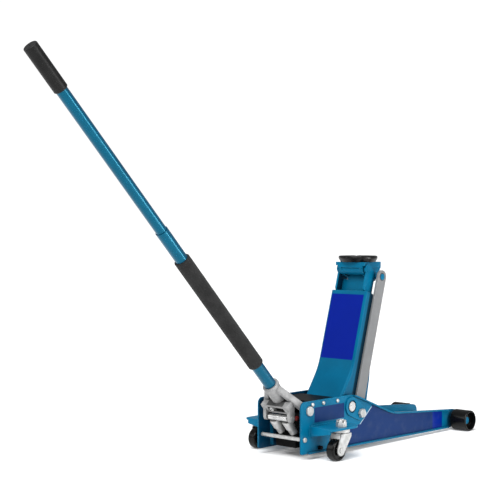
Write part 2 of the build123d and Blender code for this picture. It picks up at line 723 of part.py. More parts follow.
def level_link():
    bar = slab(stadium(LINK_DX, link_z, LINK_R, link_top_x, link_top_z, LINK_R), link_in_y, link_out_y)
    bar -= rod(LINK_DX, link_z, LINK_BOLT_R + RUN, link_in_y - 1, link_out_y + 1)
    return bar - rod(link_top_x, link_top_z, LINK_PIN_R + RUN, link_in_y - 1, link_out_y + 1)


def saddle_carrier():
    top_z = carrier_z + CARRIER_TOP
    rear_x = carrier_x - CARRIER_REAR
    front_x = carrier_x + CARRIER_FRONT
    carrier = block(rear_x, front_x, -carrier_half_w, carrier_half_w, top_z - CARRIER_PLATE_T, top_z)
    carrier = fillet(carrier.edges().filter_by(Axis.Z).sort_by(Axis.X)[-2:], CARRIER_ROUND)
    flange_half = lug_out_y - FLANGE_SET_IN
    carrier += block(rear_x, rear_x + FLANGE_L, -flange_half, flange_half, top_z - FLANGE_T, top_z)
    carrier += rod(carrier_x, carrier_z, CARRIER_HUB_R, -carrier_half_w, carrier_half_w)
    gusset = Pos((rear_x + front_x) / 2, top_z - CARRIER_PLATE_T / 2) * Rectangle(front_x - rear_x, CARRIER_PLATE_T)
    hub = Pos(carrier_x, carrier_z) * Circle(CARRIER_HUB_R)
    ear = Pos(link_top_x, link_top_z) * Circle(CHEEK_PIN_R)
    cheek = slab(make_hull(gusset.edges() + hub.edges() + ear.edges()), cheek_in_y, cheek_out_y)
    carrier += cheek + other_side(cheek)
    stem_foot_z = top_z + SIDE_GAP - STEM_L
    carrier += post(saddle_x, 0, STEM_BOSS_R, stem_foot_z, top_z)
    carrier -= post(saddle_x, 0, STEM_R + RUN, stem_foot_z - 1, top_z + 1)
    carrier -= rod(carrier_x, carrier_z, CARRIER_PIN_R + RUN, -arm_out_y, arm_out_y)
    return carrier - rod(link_top_x, link_top_z, LINK_PIN_R + FIT, -arm_out_y, arm_out_y)


def saddle_plate():
    foot_z = carrier_z + CARRIER_TOP + SIDE_GAP
    plate = post(saddle_x, 0, SADDLE_PLATE_R, foot_z, foot_z + SADDLE_PLATE_T)
    return plate + post(saddle_x, 0, STEM_R, foot_z - STEM_L, foot_z)


def saddle_pad():
    foot_z = carrier_z + CARRIER_TOP + SIDE_GAP
    pad = post(saddle_x, 0, PAD_R, foot_z, foot_z + PAD_T)
    pad = chamfer(pad.faces().sort_by(Axis.Z)[0].edges(), PAD_T - PAD_ROUND - PAD_EDGE, PAD_TAPER)
    pad = fillet(pad.faces().sort_by(Axis.Z)[-1].edges(), PAD_ROUND)
    pad -= post(saddle_x, 0, SADDLE_PLATE_R + FIT, foot_z - 1, foot_z + SADDLE_PLATE_T)
    groove_z = foot_z + PAD_T - PAD_GROOVE_H / 2
    for turn in (45, 135):
        groove = Box(2 * PAD_R + 2, PAD_GROOVE_W, PAD_GROOVE_H)
        pad -= Pos(saddle_x, 0, groove_z) * Rot(0, 0, turn) * groove
    return pad


def pump_body():
    # Cast block: barrels stand on its sloped rear face, the cylinder enters its front.
    seat_x = plunger_x + BARREL_STAND * pump_dx
    seat_z = plunger_z + BARREL_STAND * pump_dz
    slope = -pump_dx / pump_dz
    shape = outline(
        [
            (BODY_REAR_X, BODY_BOTTOM_Z),
            (TANK_REAR_X, BODY_BOTTOM_Z),
            (TANK_REAR_X, BODY_TOP_Z),
            (BODY_WALL_X + BODY_CHAMFER, BODY_TOP_Z),
            (BODY_WALL_X, BODY_TOP_Z - BODY_CHAMFER),
            (BODY_WALL_X, seat_z + (BODY_WALL_X - seat_x) * slope),
            (BODY_REAR_X, seat_z + (BODY_REAR_X - seat_x) * slope),
        ],
        [BODY_CORNER, 0, BODY_CORNER, 0, 0, 0, 0],
    )
    body = slab(shape, -BODY_HALF_W, BODY_HALF_W)
    body = fillet(body.edges().filter_by(Axis.X), BODY_ROUND)
    for y in (-PLUNGER_Y, PLUNGER_Y):
        place = along(seat_x, y, seat_z, pump_dx, pump_dz)
        body -= spindle(place, BARREL_R + FIT, -2 * BARREL_R, BARREL_SINK)
    body -= spindle(valve_place(), VALVE_R + RUN, VALVE_STAND - VALVE_MOUTH, VALVE_STAND + VALVE_SINK + 1)
    body -= rod_x(0, ram_axis_z, CYLINDER_R + FIT, CYLINDER_REAR_X, TANK_REAR_X + 1)
    body -= rod_x(PLUG_Y, PLUG_Z, PLUG_R / 2 + FIT, BODY_WALL_X - 1, BODY_WALL_X + PLUG_L)
    return body - rod(MOUNT_ROD_X, MOUNT_ROD_Z, MOUNT_ROD_R + FIT, -BODY_HALF_W - 1, BODY_HALF_W + 1)


def pump_barrel(y):
    place = along(plunger_x, y, plunger_z, pump_dx, pump_dz)
    barrel = spindle(place, BARREL_R, BARREL_TOP, BARREL_STAND + BARREL_SINK)
    return barrel - spindle(place, PLUNGER_R + RUN, 0, BARREL_STAND + BARREL_SINK + 1)


def pump_plunger(y):
    # Plunger with a cap over the barrel, pushed by the handle's roller.
    place = along(plunger_x, y, plunger_z, pump_dx, pump_dz)
    cap = spindle(place, CAP_R, 0, CAP_L)
    cap = fillet(cap.edges().filter_by(GeomType.CIRCLE), CAP_ROUND)
    cap -= spindle(place, BARREL_R + CAP_GAP, CAP_TOP_T, CAP_L + 1)
    return cap + spindle(place, PLUNGER_R, CAP_TOP_T - 1, PLUNGER_L)


def oil_tank():
    tank = rod_x(0, ram_axis_z, TANK_R, TANK_REAR_X, TANK_FRONT_X)
    tank = fillet(tank.faces().sort_by(Axis.X)[-1].edges(), TANK_ROUND)
    inner_x = TANK_FRONT_X - TANK_WALL
    tank -= rod_x(0, ram_axis_z, TANK_R - TANK_WALL, TANK_REAR_X - 1, inner_x)
    return tank - rod_x(0, ram_axis_z, GLAND_R + FIT, inner_x - 1, TANK_FRONT_X + 1)


def ram_cylinder():
    tube = rod_x(0, ram_axis_z, CYLINDER_R, CYLINDER_REAR_X, gland_rear_x)
    return tube - rod_x(0, ram_axis_z, BORE_R, CYLINDER_REAR_X - 1, gland_rear_x + 1)


def gland_nut():
    nut = rod_x(0, ram_axis_z, GLAND_R, gland_rear_x, GLAND_FRONT_X)
    nut = chamfer(nut.faces().sort_by(Axis.X)[-1].edges(), GLAND_CHAMFER)
    return nut - rod_x(0, ram_axis_z, ROD_R + RUN, gland_rear_x - 1, GLAND_FRONT_X + 1)


def ram_piston():
    seal_x = piston_front_x - PISTON_L / 2
    piston = rod_x(0, ram_axis_z, BORE_R - RUN, piston_front_x - PISTON_L, piston_front_x)
    return piston - seal_ring(seal_x, BORE_R + 1)


def seal_ring(x, radius):
    ring = rod_x(0, ram_axis_z, radius, x - SEAL_W / 2, x + SEAL_W / 2)
    return ring - rod_x(0, ram_axis_z, BORE_R - SEAL_DEPTH, x - SEAL_W, x + SEAL_W)


def ram_head():
    # Fork around the arm's tail pin, with a web below it for the springs' bar.
    head = block(
        head_rear_x, head_rear_x + HEAD_L,
        -HEAD_HALF_W, HEAD_HALF_W,
        head_bottom_z, head_top_z,
    )
    head = fillet(head.edges().filter_by(Axis.X), HEAD_ROUND)
    slot_half = TAIL_PIN_R + SLOT_PLAY
    slot_z = ARM_PIVOT_Z - TAIL_RADIUS - TAIL_PIN_R - SLOT_FLOOR_GAP
    head -= block(
        tail_x - slot_half, tail_x + slot_half,
        -HEAD_HALF_W - 1, HEAD_HALF_W + 1,
        slot_z, head_top_z + 1,
    )
    web = stadium(tail_x, MOUNT_ROD_Z, 2 * SPRING_BAR_R, tail_x, head_bottom_z, SPRING_BAR_WEB)
    web = slab(web, -HEAD_HALF_W / 2, HEAD_HALF_W / 2)
    web &= block(tail_x - HEAD_L, tail_x + HEAD_L, -HEAD_HALF_W, HEAD_HALF_W, 0, head_bottom_z + 1)
    return head + web - rod(tail_x, MOUNT_ROD_Z, SPRING_BAR_R + FIT, -HEAD_HALF_W, HEAD_HALF_W)


def unit_cover():
    # Folded sheet over the pump unit, screwed between the side plates.
    half = PLATE_INNER_Y - SIDE_GAP
    foot_z = COVER_TOP_Z - COVER_SKIRT
    cover = block(COVER_REAR_X, COVER_FRONT_X, -half, half, foot_z, COVER_TOP_Z)
    cover = fillet(cover.faces().sort_by(Axis.Z)[-1].edges().filter_by(Axis.X), COVER_ROUND)
    inside = half - COVER_SHEET
    hollow = block(
        COVER_REAR_X - 1, COVER_FRONT_X + 1,
        -inside, inside,
        foot_z - 1, COVER_TOP_Z - COVER_SHEET,
    )
    cover -= hollow
    for x in SCREW_XS[1:]:
        cover -= rod(x, SCREW_Z, SCREW_R + FIT, -half - 1, half + 1)
    return cover


def filler_plug():
    head = rod_x(PLUG_Y, PLUG_Z, PLUG_R, BODY_WALL_X - PLUG_L / 2, BODY_WALL_X)
    return head + rod_x(PLUG_Y, PLUG_Z, PLUG_R / 2, BODY_WALL_X, BODY_WALL_X + PLUG_L - 1)


def spring_path():
    # Half turns whose planes lean by the pitch, so that each runs smoothly into the next.
    start_x = MOUNT_ROD_X + MOUNT_ROD_R + SPRING_WIRE / 2 + SIDE_GAP
    end_x = tail_x - SPRING_BAR_R - SPRING_WIRE / 2 - SIDE_GAP
    step = (end_x - start_x) / (2 * SPRING_TURNS)
    y_in = spring_y - SPRING_R
    y_out = spring_y + SPRING_R
    z = MOUNT_ROD_Z
    edges = [Line((start_x, y_out, z - SPRING_WIRE), (start_x, y_out, z))]
    lean = math.hypot(SPRING_R, step / 2)
    for half_turn in range(2 * SPRING_TURNS):
        x = start_x + half_turn * step
        rising = half_turn % 2 == 0
        first = (x, y_out if rising else y_in, z)
        last = (x + step, y_in if rising else y_out, z)
        top = (x + step / 2, spring_y, z + lean if rising else z - lean)
        edges.append(ThreePointArc(first, top, last))
    edges.append(Line((end_x, y_out, z), (end_x, y_out, z + SPRING_WIRE)))
    return edges


def return_spring():
    path = spring_path()
    start = path[0] @ 0
    section = Plane(origin=start, z_dir=path[0] % 0) * Circle(SPRING_WIRE / 2)
    samples = [edge @ (i / 12) for edge in path for i in range(12)]
    turn = 20
    least = min(
        (samples[i] - samples[j]).length
        for i in range(len(samples))
        for j in range(i + turn, min(i + 3 * turn, len(samples)))
    )
    print("return spring: least gap to itself", round(least - SPRING_WIRE, 2), "mm")
    return sweep(section, path=Wire([piece.edge() for piece in path]))


def handle_place():
    return along(HANDLE_PIVOT_X, 0, HANDLE_PIVOT_Z, handle_dx, handle_dz)


def valve_place():
    return along(HANDLE_PIVOT_X, 0, HANDLE_PIVOT_Z, -handle_dx, -handle_dz)


def tube(radius, bore, h0, h1):
    return spindle(handle_place(), radius, h0, h1) - spindle(handle_place(), bore, h0 - 1, h1 + 1)


def handle_socket():
    # Cast yoke: tube socket, two arms to the pivot bosses and cheeks for the pump roller.
    place = Pos(0, 0, 0)
    roller_x = -PUMP_ROLLER_ARM * math.sin(math.radians(PUMP_ROLLER_TURN))
    roller_z = PUMP_ROLLER_ARM * math.cos(math.radians(PUMP_ROLLER_TURN))
    boss_in_y = yoke_out_y - YOKE_BOSS_W
    arm_face = make_face(
        Polyline(
            (0, SOCKET_TOP - SOCKET_RING_L),
            (SOCKET_RING_R, SOCKET_TOP - SOCKET_RING_L),
            (yoke_out_y, YOKE_BOSS_R),
            (yoke_out_y, 0),
            (boss_in_y, 0),
            (SOCKET_R - YOKE_CROTCH_IN, SOCKET_TOP - YOKE_CROTCH),
            (0, SOCKET_TOP - YOKE_CROTCH),
            close=True,
        )
    )
    arm_plane = Plane(origin=(-YOKE_ARM_T / 2, 0, 0), x_dir=(0, 1, 0), z_dir=(1, 0, 0))
    arm = extrude(arm_plane * arm_face, amount=YOKE_ARM_T, dir=(1, 0, 0))
    flanks = arm.faces().sort_by(Axis.X)
    rims = (flanks[0].edges() + flanks[-1].edges()).filter_by(lambda rim: rim.center().Y > SOCKET_R)
    arm = fillet(rims, YOKE_ROUND)
    arm += rod(0, 0, YOKE_BOSS_R, boss_in_y, yoke_out_y)
    cheek_x = YOKE_WEB_X + YOKE_CHEEK_DX
    cheek_z = YOKE_WEB_Z + YOKE_CHEEK_DZ
    cheek_face = stadium(roller_x, roller_z, YOKE_CHEEK_R, cheek_x, cheek_z, YOKE_CHEEK_R)
    arm += slab(cheek_face, yoke_cheek_in_y, yoke_cheek_out_y)
    yoke = arm + other_side(arm)
    yoke += spindle(place, SOCKET_R, SOCKET_FOOT, SOCKET_TOP)
    ring = spindle(place, SOCKET_RING_R, SOCKET_TOP - SOCKET_RING_L, SOCKET_TOP)
    yoke += fillet(ring.edges().filter_by(GeomType.CIRCLE), SOCKET_RING_ROUND)
    web_half = YOKE_WEB_T / 2
    web = block(
        YOKE_WEB_X - web_half, YOKE_WEB_X + web_half,
        -yoke_cheek_out_y, yoke_cheek_out_y,
        YOKE_WEB_Z - YOKE_WEB_H / 2, YOKE_WEB_Z + YOKE_WEB_H / 2,
    )
    web += block(
        YOKE_WEB_X, -SOCKET_LEDGE_R,
        -yoke_cheek_in_y, yoke_cheek_in_y,
        SOCKET_FOOT, SOCKET_LEDGE,
    )
    web -= block(
        YOKE_WEB_X - YOKE_WEB_T, YOKE_WEB_X + YOKE_WEB_T,
        -YOKE_WINDOW_W / 2, YOKE_WINDOW_W / 2,
        YOKE_WINDOW_FOOT, YOKE_WINDOW_TOP,
    )
    yoke += web
    yoke -= spindle(place, LOWER_R + RUN, SOCKET_LEDGE, SOCKET_TOP + 1)
    yoke -= spindle(place, SOCKET_LEDGE_R, 0, SOCKET_LEDGE + 1)
    yoke -= rod(0, 0, HANDLE_BOLT_R + RUN, -plate_outer_y, plate_outer_y)
    yoke -= rod(roller_x, roller_z, ROLLER_PIN_R + FIT, -plate_outer_y, plate_outer_y)
    return handle_place() * yoke


def pump_roller():
    half = PUMP_ROLLER_L / 2
    roller = rod(pump_roller_x, pump_roller_z, PUMP_ROLLER_R, -half, half)
    roller = fillet(roller.edges().filter_by(GeomType.CIRCLE), PUMP_ROLLER_ROUND)
    return roller - rod(pump_roller_x, pump_roller_z, ROLLER_PIN_R + RUN, -half - 1, half + 1)


def roller_pin():
    half = yoke_cheek_out_y + ROLLER_PIN_END
    return rod(pump_roller_x, pump_roller_z, ROLLER_PIN_R, -half, half)


def hand_grip():
    grip = spindle(handle_place(), GRIP_R, GRIP_FROM, HANDLE_END)
    grip = fillet(grip.edges().filter_by(GeomType.CIRCLE), GRIP_ROUND)
    grip -= spindle(handle_place(), UPPER_R + FIT, GRIP_FROM - 1, HANDLE_END - GRIP_CAP)
    return grip - spindle(handle_place(), GRIP_VENT_R, HANDLE_END - GRIP_CAP - 1, HANDLE_END + 1)


def release_driver():
    foot = SOCKET_LEDGE + SIDE_GAP
    plug = spindle(handle_place(), LOWER_R - LOWER_WALL - FIT, foot, foot + DRIVER_PLUG_L)
    neck = spindle(handle_place(), BALL_NECK_R, 0, foot + 1)
    return plug + neck + handle_place() * Sphere(BALL_R)


def release_valve():
    cup = spindle(valve_place(), CUP_R, 0, CUP_L)
    cup += spindle(valve_place(), VALVE_R, CUP_L - 1, VALVE_STAND + VALVE_SINK)
    return cup - spindle(valve_place(), BALL_R + SIDE_GAP, -1, BALL_R + SIDE_GAP)


def build():
    nodes = {}
    for name, part in {
        "side_plate": side_plate(),
        "caster_bracket": caster_bracket(),
        "caster_fork": caster_fork(),
        "caster_axle": caster_axle(),
        "caster_wheel": caster_wheel(),
        "front_roller": front_roller(),
        "level_link": level_link(),
    }.items():
        nodes[name + "_left"] = part
        nodes[name + "_right"] = other_side(part)

    # Chassis
    clip_y = roller_out_y - ROLLER_RECESS + SIDE_GAP
    clip_end_y = clip_y + AXLE_CLIP_T
    axle_half = clip_end_y + AXLE_END
    nodes["front_axle"] = rod(FRONT_AXLE_X, ROLLER_R, FRONT_AXLE_R, -axle_half, axle_half)
    rings = [axle_ring(plate_outer_y, roller_in_y - SIDE_GAP), axle_ring(clip_y, clip_end_y)]
    nodes["axle_washers"] = Compound(rings + [other_side(ring) for ring in rings])
    nodes["rear_tie_rod"] = rear_tie_rod()
    nodes["arm_pivot_shaft"] = rod(0, ARM_PIVOT_Z, SHAFT_R, -boss_outer_y, boss_outer_y)
    nodes["link_bolts"] = both_sides(link_bolt())
    nodes["handle_pivot_bolts"] = both_sides(handle_bolt())
    screws = [plate_screw(x) for x in SCREW_XS]
    nodes["plate_screws"] = Compound(screws + [other_side(screw) for screw in screws])
    nodes["kingpins"] = both_sides(kingpin())
    nodes["castle_nuts"] = both_sides(castle_nut())
    cotters = cotter_pin()
    nodes["cotter_pins"] = Compound(cotters + [other_side(pin) for pin in cotters])
    nodes["swivel_races"] = both_sides(swivel_race())

    # Pump unit
    nodes["unit_cover"] = unit_cover()
    nodes["pump_body"] = pump_body()
    nodes["pump_barrels"] = Compound([pump_barrel(PLUNGER_Y), pump_barrel(-PLUNGER_Y)])
    nodes["filler_plug"] = filler_plug()
    nodes["oil_tank"] = oil_tank()
    nodes["ram_cylinder"] = ram_cylinder()
    nodes["gland_nut"] = gland_nut()
    mount_half = plate_outer_y + MOUNT_ROD_END
    nodes["unit_mount_rod"] = rod(MOUNT_ROD_X, MOUNT_ROD_Z, MOUNT_ROD_R, -mount_half, mount_half)
    nodes["return_springs"] = both_sides(return_spring())
    nodes["pump_plungers"] = Compound([pump_plunger(PLUNGER_Y), pump_plunger(-PLUNGER_Y)])
    nodes["release_valve"] = release_valve()

    # Ram
    nodes["ram_rod"] = rod_x(0, ram_axis_z, ROD_R, piston_front_x, head_rear_x)
    nodes["ram_piston"] = ram_piston()
    nodes["piston_seal"] = seal_ring(piston_front_x - PISTON_L / 2, BORE_R - FIT)
    nodes["ram_head"] = ram_head()
    bar_half = spring_y + SPRING_R + SPRING_WIRE
    nodes["spring_bar"] = rod(tail_x, MOUNT_ROD_Z, SPRING_BAR_R, -bar_half, bar_half)

    # Arm, carrier and saddle
    nodes["arm_channel"] = arm_channel()
    sleeve = rod(0, ARM_PIVOT_Z, SLEEVE_R, -arm_in_y, arm_in_y)
    nodes["arm_pivot_sleeve"] = sleeve - rod(0, ARM_PIVOT_Z, SHAFT_R + RUN, -arm_in_y, arm_in_y)
    nodes["arm_tail_pin"] = rod(tail_x, tail_z, TAIL_PIN_R, -arm_out_y, arm_out_y)
    nodes["arm_inner_channel"] = arm_inner_channel()
    nodes["arm_braces"] = Compound([arm_brace(s) for s in BRACE_S])
    carrier_pin_half = lug_out_y + CARRIER_PIN_END
    nodes["carrier_pin"] = rod(carrier_x, carrier_z, CARRIER_PIN_R, -carrier_pin_half, carrier_pin_half)
    nodes["saddle_carrier"] = saddle_carrier()
    link_pin_half = PLATE_INNER_Y - SIDE_GAP
    nodes["link_pin"] = rod(link_top_x, link_top_z, LINK_PIN_R, -link_pin_half, link_pin_half)
    nodes["saddle_plate"] = saddle_plate()
    nodes["saddle_pad"] = saddle_pad()

    # Handle
    nodes["handle_socket"] = handle_socket()
    nodes["roller_pin"] = roller_pin()
    nodes["pump_roller"] = pump_roller()
    lower_foot = SOCKET_LEDGE + SIDE_GAP
    nodes["lower_tube"] = tube(LOWER_R, LOWER_R - LOWER_WALL, lower_foot, LOWER_END)
    upper_foot = LOWER_END - UPPER_LAP
    nodes["upper_tube"] = tube(UPPER_R, UPPER_R - UPPER_WALL, upper_foot, HANDLE_END - GRIP_CAP)
    nodes["foam_sleeve"] = tube(FOAM_R, LOWER_R + FIT, FOAM_FROM, FOAM_TO)
    nodes["hand_grip"] = hand_grip()
    nodes["release_driver"] = release_driver()
    return nodes


nodes = build()

# The origin is on the floor, under the middle of the whole jack.
bounds = [part.bounding_box() for part in nodes.values()]
origin_x = (min(box.min.X for box in bounds) + max(box.max.X for box in bounds)) / 2

os.makedirs("parts", exist_ok=True)
for name, part in nodes.items():
    export_step(Pos(-origin_x, 0, 0) * part, f"parts/{name}.step")
print(len(nodes), "nodes, origin at", round(origin_x, 3), "mm from the arm pivot")
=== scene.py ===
import bpy
import math
from mathutils import Matrix, Vector

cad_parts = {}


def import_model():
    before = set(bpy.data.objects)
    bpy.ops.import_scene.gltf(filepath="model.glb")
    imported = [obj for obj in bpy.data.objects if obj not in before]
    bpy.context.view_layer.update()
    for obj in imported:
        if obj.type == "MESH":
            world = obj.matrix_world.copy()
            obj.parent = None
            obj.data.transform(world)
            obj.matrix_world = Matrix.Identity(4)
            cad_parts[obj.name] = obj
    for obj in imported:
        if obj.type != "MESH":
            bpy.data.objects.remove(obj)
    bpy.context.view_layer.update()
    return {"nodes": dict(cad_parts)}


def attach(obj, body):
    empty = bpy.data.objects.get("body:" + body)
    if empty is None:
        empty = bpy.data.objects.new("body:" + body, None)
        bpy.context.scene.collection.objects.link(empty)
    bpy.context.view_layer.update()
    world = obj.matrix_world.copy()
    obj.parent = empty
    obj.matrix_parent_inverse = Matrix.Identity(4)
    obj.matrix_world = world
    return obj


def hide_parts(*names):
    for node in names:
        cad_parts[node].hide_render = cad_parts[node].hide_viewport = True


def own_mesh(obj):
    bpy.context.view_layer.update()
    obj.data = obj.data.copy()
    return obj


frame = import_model()
nodes = frame["nodes"]
bpy.ops.object.select_all(action="DESELECT")
print("frame loaded:", len(nodes), "nodes")

pumpPivot = (0.07362, 0.124)    # x and z of the bolts that the handle pumps on
handleRise = 46.0               # the handle's slope at rest, in degrees
white = (1, 1, 1, 1)


# Camera, floor and light

shot = {
    "place": (-2.3583, -2.1124, 0.5982),
    "tilt": 88.9,
    "turn": -47.3,
    "lens": 89.28,
    "sensor": 36,
    "reach": 200,
}

aimed = (math.radians(shot["tilt"]), 0, math.radians(shot["turn"]))
bpy.ops.object.camera_add(location=shot["place"], rotation=aimed)
camera = bpy.context.object
camera.name = "studioCamera"
camera.data.sensor_fit = "HORIZONTAL"
camera.data.sensor_width = shot["sensor"]
camera.data.lens = shot["lens"]
camera.data.clip_end = shot["reach"]
bpy.context.scene.camera = camera
bpy.context.scene.view_settings.view_transform = "Standard"

studio = {
    "floorSize": 90,
    "floorDrop": 0.0004,
    "floorColour": (0.93, 0.93, 0.93, 1),
    "floorRough": 0.9,
    "floorShine": 0.1,
    "floorGlow": 0.10,
    "backdrop": 1.05,      # white wall that the camera sees
    "tone": (0.97, 0.985, 1, 1),
    "ambient": 0.23,       # light that reaches the jack from all round
    "mirrored": 0.12,      # added where a glossy face mirrors the white room
    "sun": 3.5,
    "sunSize": 50,
    "sunTilt": (31, 0, -74),
    "strips": [            # soft boxes: place, aimed at, width, height, power
        ((-1.7, -0.5, 1.9), (-0.25, 0, 0.5), 0.4, 1.8, 12),
        ((0.2, -2.6, 1.5), (0.1, 0, 0.25), 1.2, 1.2, 7),
        ((-1.9, 1.7, 1.5), (-0.2, 0, 0.4), 0.5, 1.8, 10),
    ],
    # thin light beside the handle: its two ends, aimed at, width, power
    "line": ((1.30, -2.13, 0.02), (0.26, -2.13, 1.10), (-0.517, 0, 0.735), 0.24, 28),
}

bpy.ops.mesh.primitive_plane_add(size=studio["floorSize"], location=(0, 0, -studio["floorDrop"]))
floor = bpy.context.object
floor.name = "studioFloor"
floorPaint = bpy.data.materials.new("studioFloor")
floorPaint.use_nodes = True
floorShader = floorPaint.node_tree.nodes["Principled BSDF"]
floorShader.inputs["Base Color"].default_value = studio["floorColour"]
floorShader.inputs["Roughness"].default_value = studio["floorRough"]
floorShader.inputs["Specular IOR Level"].default_value = studio["floorShine"]
floorShader.inputs["Emission Color"].default_value = white
floorShader.inputs["Emission Strength"].default_value = studio["floorGlow"]
floor.data.materials.append(floorPaint)

world = bpy.data.worlds.new("studioWorld")
bpy.context.scene.world = world
world.use_nodes = True
sky = world.node_tree
sky.nodes.clear()
seen = sky.nodes.new("ShaderNodeBackground")
seen.inputs["Color"].default_value = white
seen.inputs["Strength"].default_value = studio["backdrop"]
soft = sky.nodes.new("ShaderNodeBackground")
soft.inputs["Color"].default_value = studio["tone"]
rays = sky.nodes.new("ShaderNodeLightPath")
gloss = sky.nodes.new("ShaderNodeMath")
gloss.operation = "MULTIPLY_ADD"
gloss.inputs[1].default_value = studio["mirrored"]
gloss.inputs[2].default_value = studio["ambient"]
sky.links.new(rays.outputs["Is Glossy Ray"], gloss.inputs[0])
sky.links.new(gloss.outputs[0], soft.inputs["Strength"])
pick = sky.nodes.new("ShaderNodeMixShader")
skyOut = sky.nodes.new("ShaderNodeOutputWorld")
sky.links.new(rays.outputs["Is Camera Ray"], pick.inputs[0])
sky.links.new(soft.outputs[0], pick.inputs[1])
sky.links.new(seen.outputs[0], pick.inputs[2])
sky.links.new(pick.outputs[0], skyOut.inputs["Surface"])


def softBox(spot, turn, width, height, power):
    bpy.ops.object.light_add(type="AREA", location=spot, rotation=turn)
    box = bpy.context.object.data
    box.shape = "RECTANGLE"
    box.size = width
    box.size_y = height
    box.energy = power


bpy.ops.object.light_add(type="SUN", rotation=[math.radians(a) for a in studio["sunTilt"]])
sun = bpy.context.object.data
sun.energy = studio["sun"]
sun.angle = math.radians(studio["sunSize"])
for spot, aim, width, height, power in studio["strips"]:
    softBox(spot, (Vector(aim) - Vector(spot)).to_track_quat("-Z", "Y").to_euler(), width, height, power)
low, high, aim = [Vector(point) for point in studio["line"][:3]]
width, power = studio["line"][3:]
middle = (low + high) / 2
upright = (high - low).normalized()
across = upright.cross((middle - aim).normalized()).normalized()
turn = Matrix((across, upright, across.cross(upright))).transposed().to_euler()
softBox(middle, turn, width, (high - low).length, power)
print("camera, floor and light set")


# Finishes

class Wire:  # a shader socket that can stand in a sum
    def __init__(self, tree, socket=None):
        self.tree = tree
        self.socket = socket

    def node(self, kind, settings=None, sockets=None, out=0):
        made = self.tree.nodes.new(kind)
        for name, value in (settings or {}).items():
            setattr(made, name, value)
        for name, value in (sockets or {}).items():
            if isinstance(value, Wire):
                self.tree.links.new(value.socket, made.inputs[name])
            else:
                made.inputs[name].default_value = value
        return Wire(self.tree, made.outputs[out])

    def maths(self, operation, first, second):
        return self.node("ShaderNodeMath", {"operation": operation}, {0: first, 1: second})

    def __add__(self, other): return self.maths("ADD", self, other)
    def __radd__(self, other): return self.maths("ADD", other, self)
    def __sub__(self, other): return self.maths("SUBTRACT", self, other)
    def __rsub__(self, other): return self.maths("SUBTRACT", other, self)
    def __mul__(self, other): return self.maths("MULTIPLY", self, other)
    def __gt__(self, other): return self.maths("GREATER_THAN", self, other)
    def __lt__(self, other): return self.maths("LESS_THAN", self, other)
    def __abs__(self): return self.maths("ABSOLUTE", self, 0)


def newFinish(name):
    material = bpy.data.materials.new(name)
    material.use_nodes = True
    return material, Wire(material.node_tree), material.node_tree.nodes["Principled BSDF"]


def place(wire):  # where a point is on the jack, in metres
    return wire.node("ShaderNodeTexCoord", out="Object")


def axes(wire, at):
    split = wire.node("ShaderNodeSeparateXYZ", sockets={"Vector": at}).socket.node
    return [Wire(wire.tree, split.outputs[i]) for i in range(3)]


def alongLine(x, z, pivot, angle):  # how far up a sloping line a point is, and how far ahead of it
    c, s = math.cos(math.radians(angle)), math.sin(math.radians(angle))
    dx, dz = x - pivot[0], z - pivot[1]
    return dx * c + dz * s, dx * s - dz * c


def stretched(wire, at, scale):
    return wire.node("ShaderNodeMapping", sockets={"Vector": at, "Scale": scale})


def noise(wire, at, scale, detail=3, rough=0.55):
    sockets = {"Vector": at, "Scale": scale, "Detail": detail, "Roughness": rough}
    return wire.node("ShaderNodeTexNoise", sockets=sockets)


def cells(wire, at, scale):
    sockets = {"Vector": at, "Scale": scale}
    return wire.node("ShaderNodeTexVoronoi", {"feature": "F1"}, sockets, out="Distance")


def between(wire, value, low, high, first=0.0, last=1.0):
    return wire.node("ShaderNodeMapRange", {"interpolation_type": "SMOOTHSTEP"},
                     {"Value": value, "From Min": low, "From Max": high, "To Min": first, "To Max": last})


def past(wire, value, limit, blur):
    return between(wire, value, limit - blur, limit + blur)


def before(wire, value, limit, blur, share=1):
    return between(wire, value, limit - blur, limit + blur, share, 0)


def tint(wire, share, first, second):
    return wire.node("ShaderNodeMix", {"data_type": "RGBA"}, {0: share, 6: first, 7: second}, out=2)


midTones = (0.3, 0.7)      # the part of a noise that makes a soft change of tone
sharpEdge = (0.02, 0.16)
openTo = (0.12, 0.66)      # how open a face is where the painted shade stops


def mottled(wire, share, look):
    return tint(wire, between(wire, share, *midTones), look["deep"], look["light"])


def edges(wire, radius):  # 1 along sharp edges, 0 on the faces
    rounded = wire.node("ShaderNodeBevel", {"samples": 6}, {"Radius": radius})
    true = wire.node("ShaderNodeNewGeometry", out="Normal")
    sockets = {0: rounded, 1: true}
    along = wire.node("ShaderNodeVectorMath", {"operation": "DOT_PRODUCT"}, sockets, out="Value")
    return rounded, between(wire, 1 - along, *sharpEdge)


def relief(wire, height, strength, depth, normal=None):
    sockets = {"Height": height, "Strength": strength, "Distance": depth}
    if normal is not None:
        sockets["Normal"] = normal
    return wire.node("ShaderNodeBump", sockets=sockets)


def feed(wire, shader, **sockets):
    names = {"colour": "Base Color", "rough": "Roughness", "metal": "Metallic", "normal": "Normal"}
    for name, value in sockets.items():
        if isinstance(value, Wire):
            wire.tree.links.new(value.socket, shader.inputs[names[name]])
        else:
            shader.inputs[names[name]].default_value = value


def paintedShade(wire, colour, look):  # painted shade in hollows and behind neighbours, from ambient occlusion
    opened = wire.node("ShaderNodeAmbientOcclusion", {"samples": 4}, {"Distance": look["reach"]}, out="AO")
    return tint(wire, between(wire, opened, *openTo, look["shadeShare"], 0), colour, look["hollow"])


